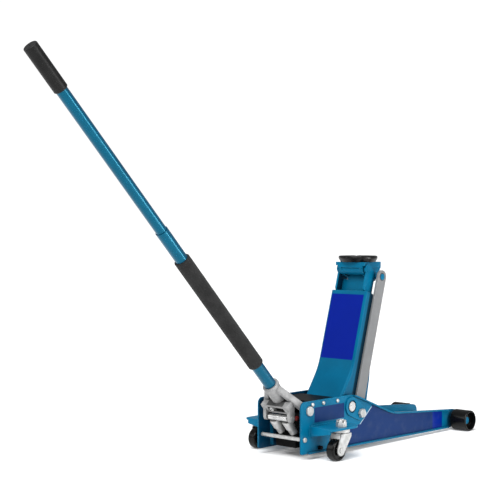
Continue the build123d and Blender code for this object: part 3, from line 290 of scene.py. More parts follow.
bluePaint = {
    "deep": (0.0002, 0.100, 0.196, 1),
    "light": (0.0006, 0.130, 0.250, 1),
    "cloud": 9,            # waves per metre between the two tones
    "edgeHighlight": (0.006, 0.230, 0.370, 1),     # painted highlight along the edges
    "edgeHighlightShare": 0.5,
    "worn": (0.30, 0.31, 0.32, 1),
    "wornShare": 0.55,
    "chips": 130,
    "chipped": (0.56, 0.66),
    "dust": (0.20, 0.22, 0.23, 1),
    "dustShare": 0.09,
    "dustTo": 0.16,        # dust lies up to this height
    "dustGrain": 42,
    "dusty": (0.45, 0.75),
    "dustRough": 0.15,
    "rough": 0.34,
    "uneven": 0.12,        # how far the gloss wanders
    "fine": 160,
    "peel": 1100,          # orange peel waves per metre
    "peelDepth": 0.10,
    "peelReach": 0.0006,
    "coarse": 0.3,         # longer waves under the peel, and their share
    "coarseShare": 0.4,
    "edge": 0.0015,
    "specular": 0.17,
    "sheen": (0.18, 0.72, 1.0, 1),
    # painted shade in hollows: its colour, share and reach
    "hollow": (0.0004, 0.010, 0.032, 1),
    "shadeShare": 0.88,
    "reach": 0.05,
}


def makePaint(name, look, marks=None):
    material, wire, shader = newFinish(name)
    at = place(wire)
    x, y, z = axes(wire, at)
    colour = mottled(wire, noise(wire, at, look["cloud"], detail=4), look)
    rough = look["rough"] + (noise(wire, at, look["fine"]) - 0.5) * look["uneven"]
    peel = noise(wire, at, look["peel"], detail=2) * (1 - look["coarseShare"])
    height = peel + noise(wire, at, look["peel"] * look["coarse"], detail=2) * look["coarseShare"]
    if marks:
        colour, rough, height = marks(wire, (x, y, z), colour, rough, height)
    settled = between(wire, noise(wire, at, look["dustGrain"], detail=5), *look["dusty"])
    settled = between(wire, z, 0.0, look["dustTo"], 1, 0) * settled
    colour = tint(wire, settled * look["dustShare"], colour, look["dust"])
    rounded = None
    if look["edge"]:  # a round tube has no edge to wear or to carry the painted highlight
        rounded, edge = edges(wire, look["edge"])
        # painted highlight along the edges
        colour = tint(wire, edge * look["edgeHighlightShare"], colour, look["edgeHighlight"])
        chips = noise(wire, at, look["chips"], detail=4, rough=0.7)
        chipped = edge * between(wire, chips, *look["chipped"])
        colour = tint(wire, chipped * look["wornShare"], colour, look["worn"])
    # the colour takes painted shade in hollows and behind neighbours
    feed(wire, shader, colour=paintedShade(wire, colour, look), rough=rough + settled * look["dustRough"],
         normal=relief(wire, height, look["peelDepth"], look["peelReach"], rounded))
    shader.inputs["Specular IOR Level"].default_value = look["specular"]
    shader.inputs["Specular Tint"].default_value = look["sheen"]
    return material


filmLook = {"blur": 0.0004, "hides": 0.9, "stands": 0.5}    # printed film over the orange peel


def overFilm(height, film):
    return height * (1 - film * filmLook["hides"]) + film * filmLook["stands"]


armPanel = {
    "pivot": (0.24762, 0.118),
    "angle": 73.5,
    "from": 0.123,
    "to": 0.3045,
    "half": 0.0548,
    "behind": -0.0045,
    "colour": (0.0002, 0.0040, 0.205, 1),
    "shade": (0.0002, 0.0030, 0.168, 1),
    "cloud": 14,
    "rough": 0.06,
    "side": 0.0611,        # flat sides, with a painted shadow beside the level links
    "linkShadow": 0.0115,
    "linkShadowBlur": 0.0025,
    "linkShadowTo": (0.030, 0.038),
    "linkShadowShare": 0.9,
    "linkShadowColour": (0.0006, 0.0050, 0.0100, 1),
}


def armMarks(wire, xyz, colour, rough, height):  # plain panel on the back of the lift arm, and a painted shadow on its sides beside the level links
    x, y, z = xyz
    up, ahead = alongLine(x, z, armPanel["pivot"], armPanel["angle"])
    blur = filmLook["blur"]
    inside = (past(wire, up, armPanel["from"], blur) * before(wire, up, armPanel["to"], blur)
              * before(wire, abs(y), armPanel["half"], blur) * (ahead < armPanel["behind"]))
    # painted shadow on the arm's flat sides, in the gap beside the level links
    linkShadow = (abs(y) > armPanel["side"]) * past(wire, ahead, armPanel["linkShadow"], armPanel["linkShadowBlur"])
    linkShadow = linkShadow * between(wire, ahead, *armPanel["linkShadowTo"], armPanel["linkShadowShare"], 0)
    colour = tint(wire, linkShadow, colour, armPanel["linkShadowColour"])
    film = tint(wire, noise(wire, place(wire), armPanel["cloud"]), armPanel["shade"], armPanel["colour"])
    return tint(wire, inside, colour, film), rough + inside * armPanel["rough"], overFilm(height, inside)


lugFace = {"from": 0.0441, "to": 0.0449, "share": 0.82, "dark": (0.0003, 0.009, 0.026, 1), "rough": 0.2}


def lugShadeMarks(wire, xyz, colour, rough, height):  # painted shade on the inner faces of the lugs, with a duller gloss
    out = abs(xyz[1])
    face = (out > lugFace["from"]) * (out < lugFace["to"])
    # painted shade on the lugs' inner faces
    colour = tint(wire, face * lugFace["share"], colour, lugFace["dark"])
    return colour, rough + face * lugFace["rough"], height


pinRing = {
    "centre": (0.39298, 0.45894),
    "from": 0.0084,
    "to": 0.0108,
    "blur": 0.0006,
    "share": 0.9,
    "dark": (0.004, 0.005, 0.006, 1),
    "ringGloss": 0.15,
}


def pinShadeMarks(wire, xyz, colour, rough, height):  # painted shade in a ring round the link pin, glossier there
    x, y, z = xyz
    flat = {0: x - pinRing["centre"][0], 1: z - pinRing["centre"][1]}
    sockets = {0: wire.node("ShaderNodeCombineXYZ", sockets=flat)}
    away = wire.node("ShaderNodeVectorMath", {"operation": "LENGTH"}, sockets, out="Value")
    # painted shade in the ring round the pin
    ring = (away > pinRing["from"]) * before(wire, away, pinRing["to"], pinRing["blur"], pinRing["share"])
    return tint(wire, ring, colour, pinRing["dark"]), rough - ring * pinRing["ringGloss"], height


sideFilm = {
    "face": (0.0746, 0.0756),
    "rear": ((0.0946, 0.2176), (0.092, 0.131)),
    "front": ((0.2226, 0.6766), (0.012, 0.131)),
    "shelf": 0.066,        # under this height the film starts behind the slanted line
    "line": ((0.3296, 0.102), (0.2836, 0.064)),
    "lineWidth": 0.0022,
    "lineTop": 0.108,
    "end": 0.628,
    "colour": (0.0050, 0.0225, 0.118, 1),
    "shade": (0.0036, 0.0165, 0.090, 1),
    "cloud": 11,
    "rough": 0.04,
    "endColour": (0.0008, 0.0125, 0.205, 1),
    "pale": (0.42, 0.52, 0.62, 1),
    "inner": (0.0695, 0.0725),      # painted shade: the plates' inner faces darker under the pump unit
    "innerShadeTo": (0.20, 0.30),
    "innerShadeShare": 0.8,
    "innerShade": (0.0003, 0.016, 0.052, 1),
}


def plateMarks(wire, xyz, colour, rough, height):  # plain two-tone film on the side plates
    x, y, z = xyz
    blur = filmLook["blur"]
    out = abs(y)
    face = (out > sideFilm["face"][0]) * (out < sideFilm["face"][1])

    def window(xs, zs):
        return (past(wire, x, xs[0], blur) * before(wire, x, xs[1], blur)
                * past(wire, z, zs[0], blur) * before(wire, z, zs[1], blur))

    (x1, z1), (x0, z0) = sideFilm["line"]
    long = math.hypot(x1 - x0, z1 - z0)
    off = (x - x0) * ((z1 - z0) / long) - (z - z0) * ((x1 - x0) / long)
    low = before(wire, z, sideFilm["shelf"], blur)
    ahead = past(wire, off, 0, blur)
    front = window(*sideFilm["front"]) * (low + ahead - low * ahead)
    film = (window(*sideFilm["rear"]) + front) * face
    line = face * before(wire, abs(off), sideFilm["lineWidth"] / 2, blur)
    line = line * window(sideFilm["front"][0], (sideFilm["shelf"], sideFilm["lineTop"]))
    dark = tint(wire, noise(wire, place(wire), sideFilm["cloud"]), sideFilm["shade"], sideFilm["colour"])
    dark = tint(wire, past(wire, x, sideFilm["end"], blur), dark, sideFilm["endColour"])
    # painted shade on the plates' inner faces, under the pump unit only
    innerShade = (out < sideFilm["inner"][1]) * (out > sideFilm["inner"][0])
    innerShade = innerShade * between(wire, x, *sideFilm["innerShadeTo"], sideFilm["innerShadeShare"], 0)
    colour = tint(wire, innerShade, colour, sideFilm["innerShade"])
    colour = tint(wire, film, colour, dark)
    colour = tint(wire, line, colour, sideFilm["pale"])
    return colour, rough + film * sideFilm["rough"], overFilm(height, film)


greyPaint = dict(
    bluePaint, deep=(0.150, 0.153, 0.157, 1), light=(0.182, 0.185, 0.189, 1),
    edgeHighlight=(0.36, 0.365, 0.37, 1), worn=(0.40, 0.40, 0.40, 1), rough=0.46, specular=0.3, sheen=white,
    hollow=(0.03, 0.03, 0.03, 1), shadeShare=0.6)
blackPaint = dict(
    bluePaint, deep=(0.003, 0.003, 0.0035, 1), light=(0.006, 0.006, 0.007, 1),
    edgeHighlight=(0.016, 0.016, 0.017, 1), worn=(0.13, 0.13, 0.13, 1), dust=(0.06, 0.06, 0.06, 1), rough=0.22,
    specular=0.36, sheen=white, hollow=(0.001, 0.001, 0.001, 1))
coverPaint = dict(
    blackPaint, deep=(0.002, 0.002, 0.0022, 1), light=(0.004, 0.004, 0.0045, 1), rough=0.42, specular=0.05)
tubePaint = dict(
    bluePaint, deep=(0.0001, 0.045, 0.092, 1), light=(0.0002, 0.056, 0.113, 1), rough=0.25, uneven=0.02,
    peel=900, peelDepth=0.003, edge=0, specular=0.85, sheen=(0.10, 0.70, 1.0, 1))
# painted shade: a darker copy of the blue paint for the lift arm, whose back faces the light
armShadedPaint = dict(bluePaint, deep=(0.0002, 0.074, 0.150, 1), light=(0.0004, 0.096, 0.192, 1))

zincPlate = {
    "deep": (0.37, 0.375, 0.37, 1),
    "light": (0.53, 0.535, 0.53, 1),
    "spangle": 60,
    "stain": (0.34, 0.33, 0.30, 1),
    "stainShare": 0.5,
    "stains": 95,
    "stained": (0.58, 0.74),
    "stainRough": 0.12,
    "rough": 0.40,
    "grain": (900, 900, 120),       # tool marks per metre along x, y and z
    "grainRough": 0.16,
    "grainDepth": (0.06, 0.0003),
    "edge": 0.0006,
    "edgeShare": 0.35,
    "metal": 0.55,
    # painted shade in slots and hollows
    "hollow": (0.02, 0.02, 0.02, 1),
    "shadeShare": 0.85,
    "reach": 0.012,
}
dullZinc = dict(
    zincPlate, deep=(0.44, 0.44, 0.435, 1), light=(0.58, 0.58, 0.57, 1), stain=(0.32, 0.31, 0.29, 1),
    rough=0.36, metal=0.45)
turnedSteel = dict(
    zincPlate, deep=(0.42, 0.42, 0.42, 1), light=(0.58, 0.58, 0.575, 1), rough=0.27,
    grain=(300, 1500, 300), metal=0.85)
hardChrome = dict(
    zincPlate, deep=(0.66, 0.67, 0.68, 1), light=(0.74, 0.75, 0.76, 1), rough=0.10,
    grain=(1400, 300, 300), metal=1.0)


def makeMetal(name, look):
    material, wire, shader = newFinish(name)
    at = place(wire)
    streaks = noise(wire, stretched(wire, at, look["grain"]), 1, detail=2)
    colour = mottled(wire, noise(wire, at, look["spangle"], detail=4), look)
    stained = between(wire, noise(wire, at, look["stains"], detail=5, rough=0.65), *look["stained"])
    colour = tint(wire, stained * look["stainShare"], colour, look["stain"])
    rounded, edge = edges(wire, look["edge"])
    colour = tint(wire, edge * look["edgeShare"], colour, look["light"])
    rough = look["rough"] + (streaks - 0.5) * look["grainRough"] + stained * look["stainRough"]
    # the colour takes painted shade in slots and hollows
    feed(wire, shader, colour=paintedShade(wire, colour, look), rough=rough, metal=look["metal"],
         normal=relief(wire, streaks, *look["grainDepth"], rounded))
    return material


castIron = {
    "deep": (0.23, 0.23, 0.23, 1),
    "light": (0.325, 0.325, 0.325, 1),
    "lumps": 70,
    "pit": (0.07, 0.07, 0.07, 1),
    "pitShare": 0.6,
    "pits": 330,
    "pitted": (0.06, 0.22),
    "pitPatches": 55,
    "pitPatch": (0.52, 0.62),
    "rough": 0.52,
    "sand": 620,
    "sandRough": 0.2,
    "depth": (0.35, 0.0012),
    "shape": (0.5, 0.6, 0.8),       # height of sand and lumps, depth of pits
    "metal": 0.15,
    "edge": 0.0016,
    "rubbed": (0.36, 0.36, 0.36, 1),
    "rubbing": (0.45, 0.6),
    "rubbedShare": 0.5,
    # painted shade in the casting's hollows
    "hollow": (0.02, 0.02, 0.02, 1),
    "shadeShare": 0.75,
    "reach": 0.05,
    "behind": 0.0285,      # painted shade inside the yoke's window
    "half": 0.0275,
    "along": (0.015, 0.0445),
    "dark": (0.012, 0.012, 0.012, 1),
    "windowShadeShare": 0.85,
}


def makeCasting(name, look):  # painted sand casting
    material, wire, shader = newFinish(name)
    at = place(wire)
    sand = noise(wire, at, look["sand"], detail=4, rough=0.6)
    lump = noise(wire, at, look["lumps"])
    patch = between(wire, noise(wire, at, look["pitPatches"], detail=2), *look["pitPatch"])
    pits = between(wire, cells(wire, at, look["pits"]), *look["pitted"], 1, 0) * patch
    colour = tint(wire, pits * look["pitShare"], mottled(wire, lump, look), look["pit"])
    rounded, edge = edges(wire, look["edge"])
    rubbed = edge * between(wire, sand, *look["rubbing"]) * look["rubbedShare"]
    # rubbed edges, then painted shade in hollows
    colour = paintedShade(wire, tint(wire, rubbed, colour, look["rubbed"]), look)
    x, y, z = axes(wire, at)
    up, ahead = alongLine(x, z, pumpPivot, 180 - handleRise)
    low, high = look["along"]
    # painted shade inside the yoke's window
    inside = (ahead > -look["behind"]) * (abs(y) < look["half"]) * (up > low) * (up < high)
    colour = tint(wire, inside * look["windowShadeShare"], colour, look["dark"])
    sandHigh, lumpHigh, pitDeep = look["shape"]
    height = sand * sandHigh + lump * lumpHigh - pits * pitDeep
    feed(wire, shader, colour=colour, rough=look["rough"] + (sand - 0.5) * look["sandRough"],
         metal=look["metal"], normal=relief(wire, height, *look["depth"], rounded))
    return material


rubber = {
    "deep": (0.005, 0.005, 0.005, 1),
    "light": (0.010, 0.010, 0.010, 1),
    "cloud": 24,
    "bloom": (0.045, 0.044, 0.042, 1),
    "scuffs": 190,
    "scuffed": (0.58, 0.72),
    "scuffRun": (1, 1, 0.3),
    "scuffShare": 0.3,
    "scuffRough": 0.14,
    "rough": 0.40,
    "grain": 950,
    "grainRough": 0.08,
    "grainDepth": (0.16, 0.0005),
    "edge": 0.0005,
    "rubbing": (0.4, 0.6),
    "edgeShare": 0.35,
    "specular": 0.16,
}
nylon = dict(
    rubber, deep=(0.0025, 0.0025, 0.0025, 1), light=(0.005, 0.005, 0.005, 1), bloom=(0.03, 0.03, 0.029, 1),
    rough=0.20, grain=700)
padRubber = dict(
    rubber, deep=(0.002, 0.002, 0.002, 1), light=(0.004, 0.004, 0.004, 1), bloom=(0.03, 0.03, 0.028, 1),
    rough=0.27, specular=0.21)
redPlastic = dict(
    rubber, deep=(0.17, 0.004, 0.004, 1), light=(0.25, 0.008, 0.006, 1), bloom=(0.34, 0.05, 0.04, 1),
    rough=0.36, grain=800, specular=0.4)
oilSeal = dict(rubber, deep=(0.02, 0.014, 0.01, 1), light=(0.05, 0.035, 0.025, 1), rough=0.5)


def makeMoulding(name, look):  # rubber or plastic with a mould grain and scuffs
    material, wire, shader = newFinish(name)
    at = place(wire)
    grain = cells(wire, at, look["grain"])
    cloud = noise(wire, at, look["cloud"], detail=4)
    scuffs = noise(wire, stretched(wire, at, look["scuffRun"]), look["scuffs"], detail=5, rough=0.7)
    scuffed = between(wire, scuffs, *look["scuffed"])
    colour = tint(wire, scuffed * look["scuffShare"], mottled(wire, cloud, look), look["bloom"])
    rounded, edge = edges(wire, look["edge"])
    rubbed = edge * between(wire, cloud, *look["rubbing"]) * look["edgeShare"]
    rough = look["rough"] + scuffed * look["scuffRough"] + (grain - 0.5) * look["grainRough"]
    feed(wire, shader, colour=tint(wire, rubbed, colour, look["bloom"]), rough=rough,
         normal=relief(wire, grain, *look["grainDepth"], rounded))
    shader.inputs["Specular IOR Level"].default_value = look["specular"]
    return material


foam = {
    "deep": (0.009, 0.009, 0.009, 1),
    "light": (0.025, 0.025, 0.025, 1),
    "cloud": 35,
    "cloudShare": 0.4,
    "cloudRough": 0.1,
    "rough": 0.86,
    "cell": 1500,
    "cellWall": (0.1, 0.7),
    "large": 0.35,         # larger cells among the fine ones, and their share
    "largeShare": 0.4,
    "depth": (0.5, 0.0010),
    "fuzz": 0.06,
    "specular": 0.2,
}


def makeFoam(name, look):  # closed-cell foam, with its skin broken into fine cells
    material, wire, shader = newFinish(name)
    at = place(wire)
    cell = cells(wire, at, look["cell"])
    large = cells(wire, at, look["cell"] * look["large"])
    cloud = noise(wire, at, look["cloud"], detail=4)
    share = between(wire, cell, *look["cellWall"]) * (1 - look["cloudShare"])
    share = share + between(wire, cloud, *midTones) * look["cloudShare"]
    height = cell * (1 - look["largeShare"]) + large * look["largeShare"]
    feed(wire, shader, colour=tint(wire, share, look["light"], look["deep"]),
         rough=look["rough"] + (cloud - 0.5) * look["cloudRough"],
         normal=relief(wire, height, *look["depth"]))
    shader.inputs["Sheen Weight"].default_value = look["fuzz"]
    shader.inputs["Specular IOR Level"].default_value = look["specular"]
    return material


finishes = {
    "bluePaint": makePaint("bluePaint", bluePaint),
    "armShadedPaint": makePaint("armShadedPaint", armShadedPaint, armMarks),
    "platePaint": makePaint("platePaint", bluePaint, plateMarks),
    "tubePaint": makePaint("tubePaint", tubePaint),
    "lugPaint": makePaint("lugPaint", bluePaint, lugShadeMarks),
    "greyPaint": makePaint("greyPaint", greyPaint, pinShadeMarks),
    "blackPaint": makePaint("blackPaint", blackPaint),
    "coverPaint": makePaint("coverPaint", coverPaint),
    "zincPlate": makeMetal("zincPlate", zincPlate),
    "dullZinc": makeMetal("dullZinc", dullZinc),
    "turnedSteel": makeMetal("turnedSteel", turnedSteel),
    "hardChrome": makeMetal("hardChrome", hardChrome),
    "castIron": makeCasting("castIron", castIron),
    "rubber": makeMoulding("rubber", rubber),
    "padRubber": makeMoulding("padRubber", padRubber),
    "nylon": makeMoulding("nylon", nylon),
    "redPlastic": makeMoulding("redPlastic", redPlastic),
    "oilSeal": makeMoulding("oilSeal", oilSeal),
    "foam": makeFoam("foam", foam),
}

wears = {
    "bluePaint": ["caster_bracket_left", "caster_bracket_right", "front_axle", "arm_pivot_sleeve",
                  "arm_braces", "carrier_pin", "saddle_carrier", "link_pin"],
    "armShadedPaint": ["arm_channel"],
    "lugPaint": ["arm_inner_channel"],
    "platePaint": ["side_plate_left", "side_plate_right"],
    "tubePaint": ["lower_tube", "upper_tube"],
    "greyPaint": ["level_link_left", "level_link_right"],
    "coverPaint": ["unit_cover", "pump_body", "oil_tank", "unit_mount_rod"],
    "blackPaint": ["axle_washers", "gland_nut", "ram_head", "saddle_plate"],
    "zincPlate": ["rear_tie_rod", "link_bolts", "handle_pivot_bolts", "plate_screws", "kingpins",
                  "castle_nuts", "cotter_pins", "swivel_races", "return_springs", "spring_bar",
                  "roller_pin", "release_driver", "release_valve", "caster_fork_left",
                  "caster_fork_right", "caster_axle_left", "caster_axle_right"],
    "dullZinc": ["pump_barrels", "pump_plungers"],
    "turnedSteel": ["arm_pivot_shaft", "ram_cylinder", "arm_tail_pin", "ram_piston", "pump_roller"],
    "hardChrome": ["ram_rod"],
    "castIron": ["handle_socket"],
    "rubber": ["hand_grip"],
    "padRubber": ["saddle_pad"],
    "nylon": ["caster_wheel_left", "caster_wheel_right", "front_roller_left", "front_roller_right"],
    "redPlastic": ["filler_plug"],
    "oilSeal": ["piston_seal"],
    "foam": ["foam_sleeve"],
}

for finish, names in wears.items():
    for name in names:
        part = nodes[name]
        if not part.material_slots:
            part.data.materials.append(finishes[finish])
        for slot in part.material_slots:
            slot.material = finishes[finish]
bare = sorted(set(nodes) - {name for names in wears.values() for name in names})
print("finishes made:", len(finishes), "nodes without one:", bare)


# Modelling helpers

mergeGap = 0.00002
facing = 0.9               # least cosine of a face that looks to a side


def clear():
    if bpy.context.object and bpy.context.object.mode != "OBJECT":
        bpy.ops.object.mode_set(mode="OBJECT")
    bpy.ops.object.select_all(action="DESELECT")


def only(*pieces):
    clear()
    for piece in pieces:
        piece.select_set(True)
    bpy.context.view_layer.objects.active = pieces[0]


def editMode():
    bpy.ops.object.mode_set(mode="EDIT")


def objectMode():
    bpy.ops.object.mode_set(mode="OBJECT")


def pickAll():
    editMode()
    bpy.ops.mesh.select_all(action="SELECT")


def pickOpenEdges():
    editMode()
    bpy.ops.mesh.select_all(action="DESELECT")
    bpy.ops.mesh.select_mode(type="EDGE")
    bpy.ops.mesh.select_non_manifold()


def pickFaces(piece, side):
    only(piece)
    for face in piece.data.polygons:
        face.select = face.normal.dot(Vector(side)) > facing
    editMode()
    bpy.ops.mesh.select_mode(type="FACE")


def extrude(x, y, z):
    bpy.ops.mesh.extrude_region_move(TRANSFORM_OT_translate={"value": (x, y, z)})


def widen(grow):
    bpy.ops.transform.resize(value=(grow, grow, 1), center_override=(0, 0, 0))


def settle(piece):  # leaves the place in the mesh
    only(piece)
    bpy.ops.object.transform_apply(location=True, rotation=True, scale=True)


def tidy(piece, angle=40):
    only(piece)
    pickAll()
    bpy.ops.mesh.remove_doubles(threshold=mergeGap)
    bpy.ops.mesh.normals_make_consistent(inside=False)
    objectMode()
    bpy.ops.object.shade_smooth_by_angle(angle=math.radians(angle))


def applyAll(piece):
    only(piece)
    for modifier in [m.name for m in piece.modifiers]:
        bpy.ops.object.modifier_apply(modifier=modifier)


def roundEdges(piece, width, segments):
    rounding = piece.modifiers.new("rounding", "BEVEL")
    rounding.width = width
    rounding.segments = segments
    rounding.limit_method = "ANGLE"
    applyAll(piece)


def mirrored(piece, name):
    only(piece)
    bpy.ops.object.duplicate(linked=False)
    twin = bpy.context.object
    twin.name = name
    twin.scale = (1, -1, 1)
    settle(twin)
    return twin


def alongHandle(piece, up=0):  # from the handle's own frame to the jack's
    c, s = math.cos(math.radians(handleRise)), math.sin(math.radians(handleRise))
    piece.rotation_euler = (0, -math.radians(90 - handleRise), 0)
    piece.location = (pumpPivot[0] - c * up, 0, pumpPivot[1] + s * up)
    settle(piece)


def dress(piece, finish, body):
    piece.data.materials.clear()
    piece.data.materials.append(finishes[finish])
    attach(piece, body)


# Foam sleeve on the lower tube

sleeve = {
    "from": 0.174,
    "to": 0.550,
    "bore": 0.01605,
    "radius": 0.0206,
    "round": 0.0016,
    "rings": 30,
    "sides": 40,
    "startCurve": [(2, 0), (0.6, 0.3), (0, 1)],     # inset and rise, in roundings
    "endCurve": [(0, 1), (0.6, 1), (2, 0.3)],
    "firstRing": 0.7,
    "swell": 0.006,        # soft waves along the sleeve
    "waves": (2.1, 0.7),
    "smooth": 60,
}


def makeSleeve():
    clear()
    bpy.ops.mesh.primitive_circle_add(
        vertices=sleeve["sides"], radius=sleeve["bore"], location=(0, 0, 0), fill_type="NOTHING")
    piece = bpy.context.object
    piece.name = "foamSleeveSoft"
    pickAll()
    wide, curve = sleeve["radius"], sleeve["round"]
    long = sleeve["to"] - sleeve["from"]
    run = (long - 4 * curve) / sleeve["rings"]
    steps = [(wide - inset * curve, rise * curve) for inset, rise in sleeve["startCurve"]]
    quick, slow = sleeve["waves"]
    for ring in range(sleeve["rings"]):
        swell = 1 + sleeve["swell"] * math.sin(ring * quick) * math.sin(ring * slow + 1)
        steps.append((wide * swell, run if ring else run + curve * sleeve["firstRing"]))
    steps += [(wide - inset * curve, rise * curve) for inset, rise in sleeve["endCurve"]]
    steps.append((sleeve["bore"], 0.0))
    now = sleeve["bore"]
    for radius, rise in steps:
        extrude(0, 0, rise)
        widen(radius / now)
        now = radius
    objectMode()
    stretch = long / max(v.co.z for v in piece.data.vertices)
    for vertex in piece.data.vertices:
        vertex.co.z *= stretch
    only(piece)
    pickOpenEdges()
    bpy.ops.mesh.bridge_edge_loops()
    objectMode()
    alongHandle(piece, sleeve["from"])
    tidy(piece, sleeve["smooth"])
    dress(piece, "foam", "handle")
    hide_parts("foam_sleeve")


makeSleeve()
print("foam sleeve made")


# Return springs: a coil on each side, and a hook on each rod

spring = {
    "rearRod": 0.11362,
    "frontRod": 0.275614,
    "z": 0.026,
    "y": 0.044,
    "start": 0.12017,
    "end": 0.269064,
    "coil": 0.00575,
    "wire": 0.00125,
    "sides": 8,
    "turns": 28,
    "turnSteps": 16,
    "neckSteps": 8,
    "hook": 310,           # how far the hook goes round its rod, in degrees
    "hookSteps": 22,
    "stroke": 0.05599,
    "smooth": 70,
}


def wireRing(x, y, z):
    clear()
    bpy.ops.mesh.primitive_circle_add(
        vertices=spring["sides"], radius=spring["wire"], location=(0, 0, 0), fill_type="NOTHING")
    ring = bpy.context.object
    ring.location = (x, y, z)
    settle(ring)
    return ring


def makeCoil():
    ring = wireRing(0, spring["coil"], 0)
    ring.name = "springCoilLeft"
    coil = ring.modifiers.new("coil", "SCREW")
    coil.axis = "X"
    coil.angle = 2 * math.pi
    coil.steps = spring["turnSteps"]
    coil.render_steps = spring["turnSteps"]
    coil.iterations = spring["turns"]
    coil.screw_offset = (spring["end"] - spring["start"]) / spring["turns"]
    coil.use_merge_vertices = True
    coil.merge_threshold = mergeGap / 2
    applyAll(ring)
    ring.location = (spring["start"], spring["y"], spring["z"])
    settle(ring)
    tidy(ring, spring["smooth"])
    return ring


def makeHook(front):
    x = spring["end"] if front else spring["start"]
    rod = spring["frontRod"] if front else spring["rearRod"]
    neck = math.pi if front else -math.pi
    y, z = spring["y"], spring["z"]
    ring = wireRing(x, y + spring["coil"], z)
    ring.name = "springHookFront" if front else "springHookRear"
    only(ring)
    pickAll()
    middle = (x, y + spring["coil"] / 2, z)
    bpy.ops.mesh.spin(steps=spring["neckSteps"], angle=neck, center=middle, axis=(1, 0, 0))
    bend = math.radians(spring["hook"])
    bpy.ops.mesh.spin(steps=spring["hookSteps"], angle=bend, center=(rod, y, z), axis=(0, -1, 0))
    pickOpenEdges()
    bpy.ops.mesh.fill_holes(sides=0)
    objectMode()
    return ring


coilLeft = makeCoil()
coilRight = mirrored(coilLeft, "springCoilRight")
tidy(coilRight, spring["smooth"])
for coil in (coilLeft, coilRight):
    dress(coil, "zincPlate", "chassis")
    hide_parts("return_springs")
    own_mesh(coil)
for front, body in ((False, "chassis"), (True, "ram")):
    hook = makeHook(front)
    twin = mirrored(hook, "twinHook")
    only(hook, twin)
    bpy.ops.object.join()
    tidy(hook, spring["smooth"])
    dress(hook, "zincPlate", body)
print("return springs made")


# Weld beads where the caster brackets meet the side plates

weld = {
    "runs": [              # first and last ripple, and the bead's turn about Y
        ((0.080, 0.0753, 0.0842), (0.192, 0.0753, 0.0842), 0),
        ((0.0754, 0.0753, 0.0600), (0.0754, 0.0753, 0.0830), -90),
    ],
    "size": 0.0030,
    "step": 0.0032,
    "sides": (10, 8),
    "cut": 0.0004,         # how deep a ripple goes into the corner
    "thin": 0.72,
    "crown": (0.3, 0.6),   # the crown trails behind the toes
    "trail": (-0.0005, -0.0001, -0.0001),
    "uneven": 0.08,
    "waves": (1.9, 2.7),
    "smooth": 50,
}


def makeRipple():  # one frozen ripple of a bead: a leaning shell, cut off inside the corner
    clear()
    segments, rings = weld["sides"]
    bpy.ops.mesh.primitive_uv_sphere_add(segments=segments, ring_count=rings, radius=weld["size"])
    ripple = bpy.context.object
    pickAll()
    inCorner = (0, -weld["cut"], -weld["cut"])
    bpy.ops.mesh.bisect(plane_co=inCorner, plane_no=(0, 1, 1), use_fill=True, clear_inner=True)
    bpy.ops.mesh.select_all(action="SELECT")
    bpy.ops.transform.resize(value=(weld["thin"], 1, 1), center_override=(0, 0, 0))
    objectMode()
    for lean in weld["crown"]:
        for vertex in ripple.data.vertices:
            vertex.select = vertex.co.y + vertex.co.z > lean * 2 * weld["size"]
        editMode()
        bpy.ops.transform.translate(value=weld["trail"])
        objectMode()
    return ripple


def makeWelds():
    ripple = makeRipple()
    copies = []
    across, upward = weld["waves"]
    for first, last, turn in weld["runs"]:
        first, last = Vector(first), Vector(last)
        count = int((last - first).length / weld["step"])
        for side in (1, -1):
            for i in range(count + 1):
                spot = first.lerp(last, i / count)
                only(ripple)
                bpy.ops.object.duplicate(linked=False)
                bead = bpy.context.object
                bead.location = (spot.x, spot.y * side, spot.z)
                bead.rotation_euler = (0, math.radians(turn), 0)
                wide = side * (1 + weld["uneven"] * math.sin(i * across))
                bead.scale = (1, wide, 1 + weld["uneven"] * math.sin(i * upward))
                settle(bead)
                copies.append(bead)
    bpy.data.objects.remove(ripple)
    only(*copies)
    bpy.ops.object.join()
    piece = bpy.context.object
    piece.name = "bracketWelds"
    pickAll()
    bpy.ops.mesh.normals_make_consistent(inside=False)
    objectMode()
    bpy.ops.object.shade_smooth_by_angle(angle=math.radians(weld["smooth"]))
    dress(piece, "bluePaint", "chassis")


makeWelds()
print("welds made")


# Yoke: spring clips on the roller pin, and the bolt that locks the handle

clips = {
    "arm": 0.038,          # pump pivot to roller pin
    "turn": 78.0,
    "pin": 0.0041,
    "radius": 0.0076,
    "near": 0.0460,
    "thick": 0.0009,
    "mouth": 70,           # open part of the clip, in degrees
    "sides": 40,
    "round": 0.0002,
}

lockBolt = {
    "x": -0.0270,          # in the handle's own frame: behind its line, and up along it
    "y": 0.0140,
    "z": 0.0315,
    "head": 0.0064,
    "high": 0.0056,
    "socket": 0.0028,
    "socketDeep": 0.4,     # share of the head's height
    "sides": 36,
    "round": 0.0009,
}

lockBoss = {               # cast boss in the end of the yoke's window, behind the bolt
    "from": (-0.0270, 0.0050, 0.0214),
    "to": (-0.0180, 0.0271, 0.0386),
    "round": 0.0010,
    "spot": 0.0016,
}


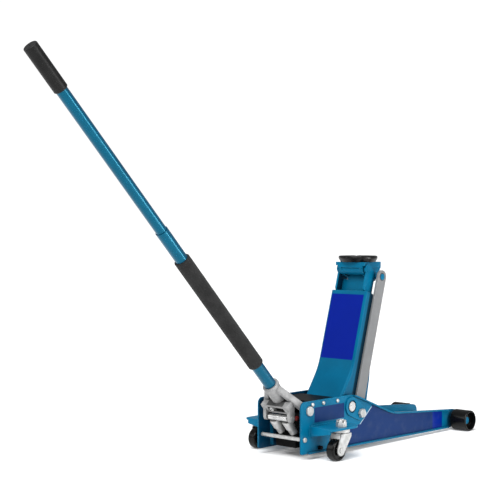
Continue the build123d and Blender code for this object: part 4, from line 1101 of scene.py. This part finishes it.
def makeClip():
    clear()
    bpy.ops.mesh.primitive_circle_add(vertices=clips["sides"], radius=clips["pin"], fill_type="NOTHING")
    clip = bpy.context.object
    clip.name = "rollerClipLeft"
    pickAll()
    bpy.ops.mesh.extrude_edges_move(TRANSFORM_OT_translate={"value": (0, 0, 0)})
    widen(clips["radius"] / clips["pin"])
    objectMode()
    half = math.radians(clips["mouth"] / 2)
    for face in clip.data.polygons:
        face.select = abs(math.atan2(face.center.x, -face.center.y)) < half
    editMode()
    bpy.ops.mesh.select_mode(type="FACE")
    bpy.ops.mesh.delete(type="FACE")
    bpy.ops.mesh.select_all(action="SELECT")
    extrude(0, 0, clips["thick"])
    objectMode()
    roundEdges(clip, clips["round"], 2)
    clip.rotation_euler = (math.radians(90), 0, 0)
    turn = math.radians(clips["turn"])
    outer = clips["near"] + clips["thick"]
    clip.location = (-clips["arm"] * math.sin(turn), outer, clips["arm"] * math.cos(turn))
    settle(clip)
    alongHandle(clip)
    return clip


def makeLockBoss():
    clear()
    low, high = Vector(lockBoss["from"]), Vector(lockBoss["to"])
    bpy.ops.mesh.primitive_cube_add(size=1, location=(low + high) / 2)
    boss = bpy.context.object
    boss.name = "handleLockBoss"
    boss.scale = high - low
    settle(boss)
    pickFaces(boss, (-1, 0, 0))
    bpy.ops.mesh.inset(thickness=lockBoss["spot"])
    bpy.ops.transform.translate(value=(-lockBoss["round"] / 2, 0, 0))
    objectMode()
    roundEdges(boss, lockBoss["round"], 3)
    alongHandle(boss)
    tidy(boss)
    dress(boss, "castIron", "yoke")


def makeLockBolt():
    clear()
    high = lockBolt["high"]
    bpy.ops.mesh.primitive_cylinder_add(vertices=lockBolt["sides"], radius=lockBolt["head"], depth=high)
    bolt = bpy.context.object
    bolt.name = "handleLockBolt"
    pickFaces(bolt, (0, 0, -1))
    bpy.ops.mesh.inset(thickness=lockBolt["head"] - lockBolt["socket"])
    extrude(0, 0, high * lockBolt["socketDeep"])
    objectMode()
    roundEdges(bolt, lockBolt["round"], 3)
    bolt.rotation_euler = (0, math.radians(90), 0)
    bolt.location = (lockBolt["x"] - high / 2, lockBolt["y"], lockBolt["z"])
    settle(bolt)
    alongHandle(bolt)
    tidy(bolt)
    dress(bolt, "zincPlate", "yoke")


clipLeft = makeClip()
clipRight = mirrored(clipLeft, "rollerClipRight")
for clip in (clipLeft, clipRight):
    tidy(clip)
    dress(clip, "zincPlate", "yoke")
makeLockBoss()
makeLockBolt()
print("yoke clips and bolt made")
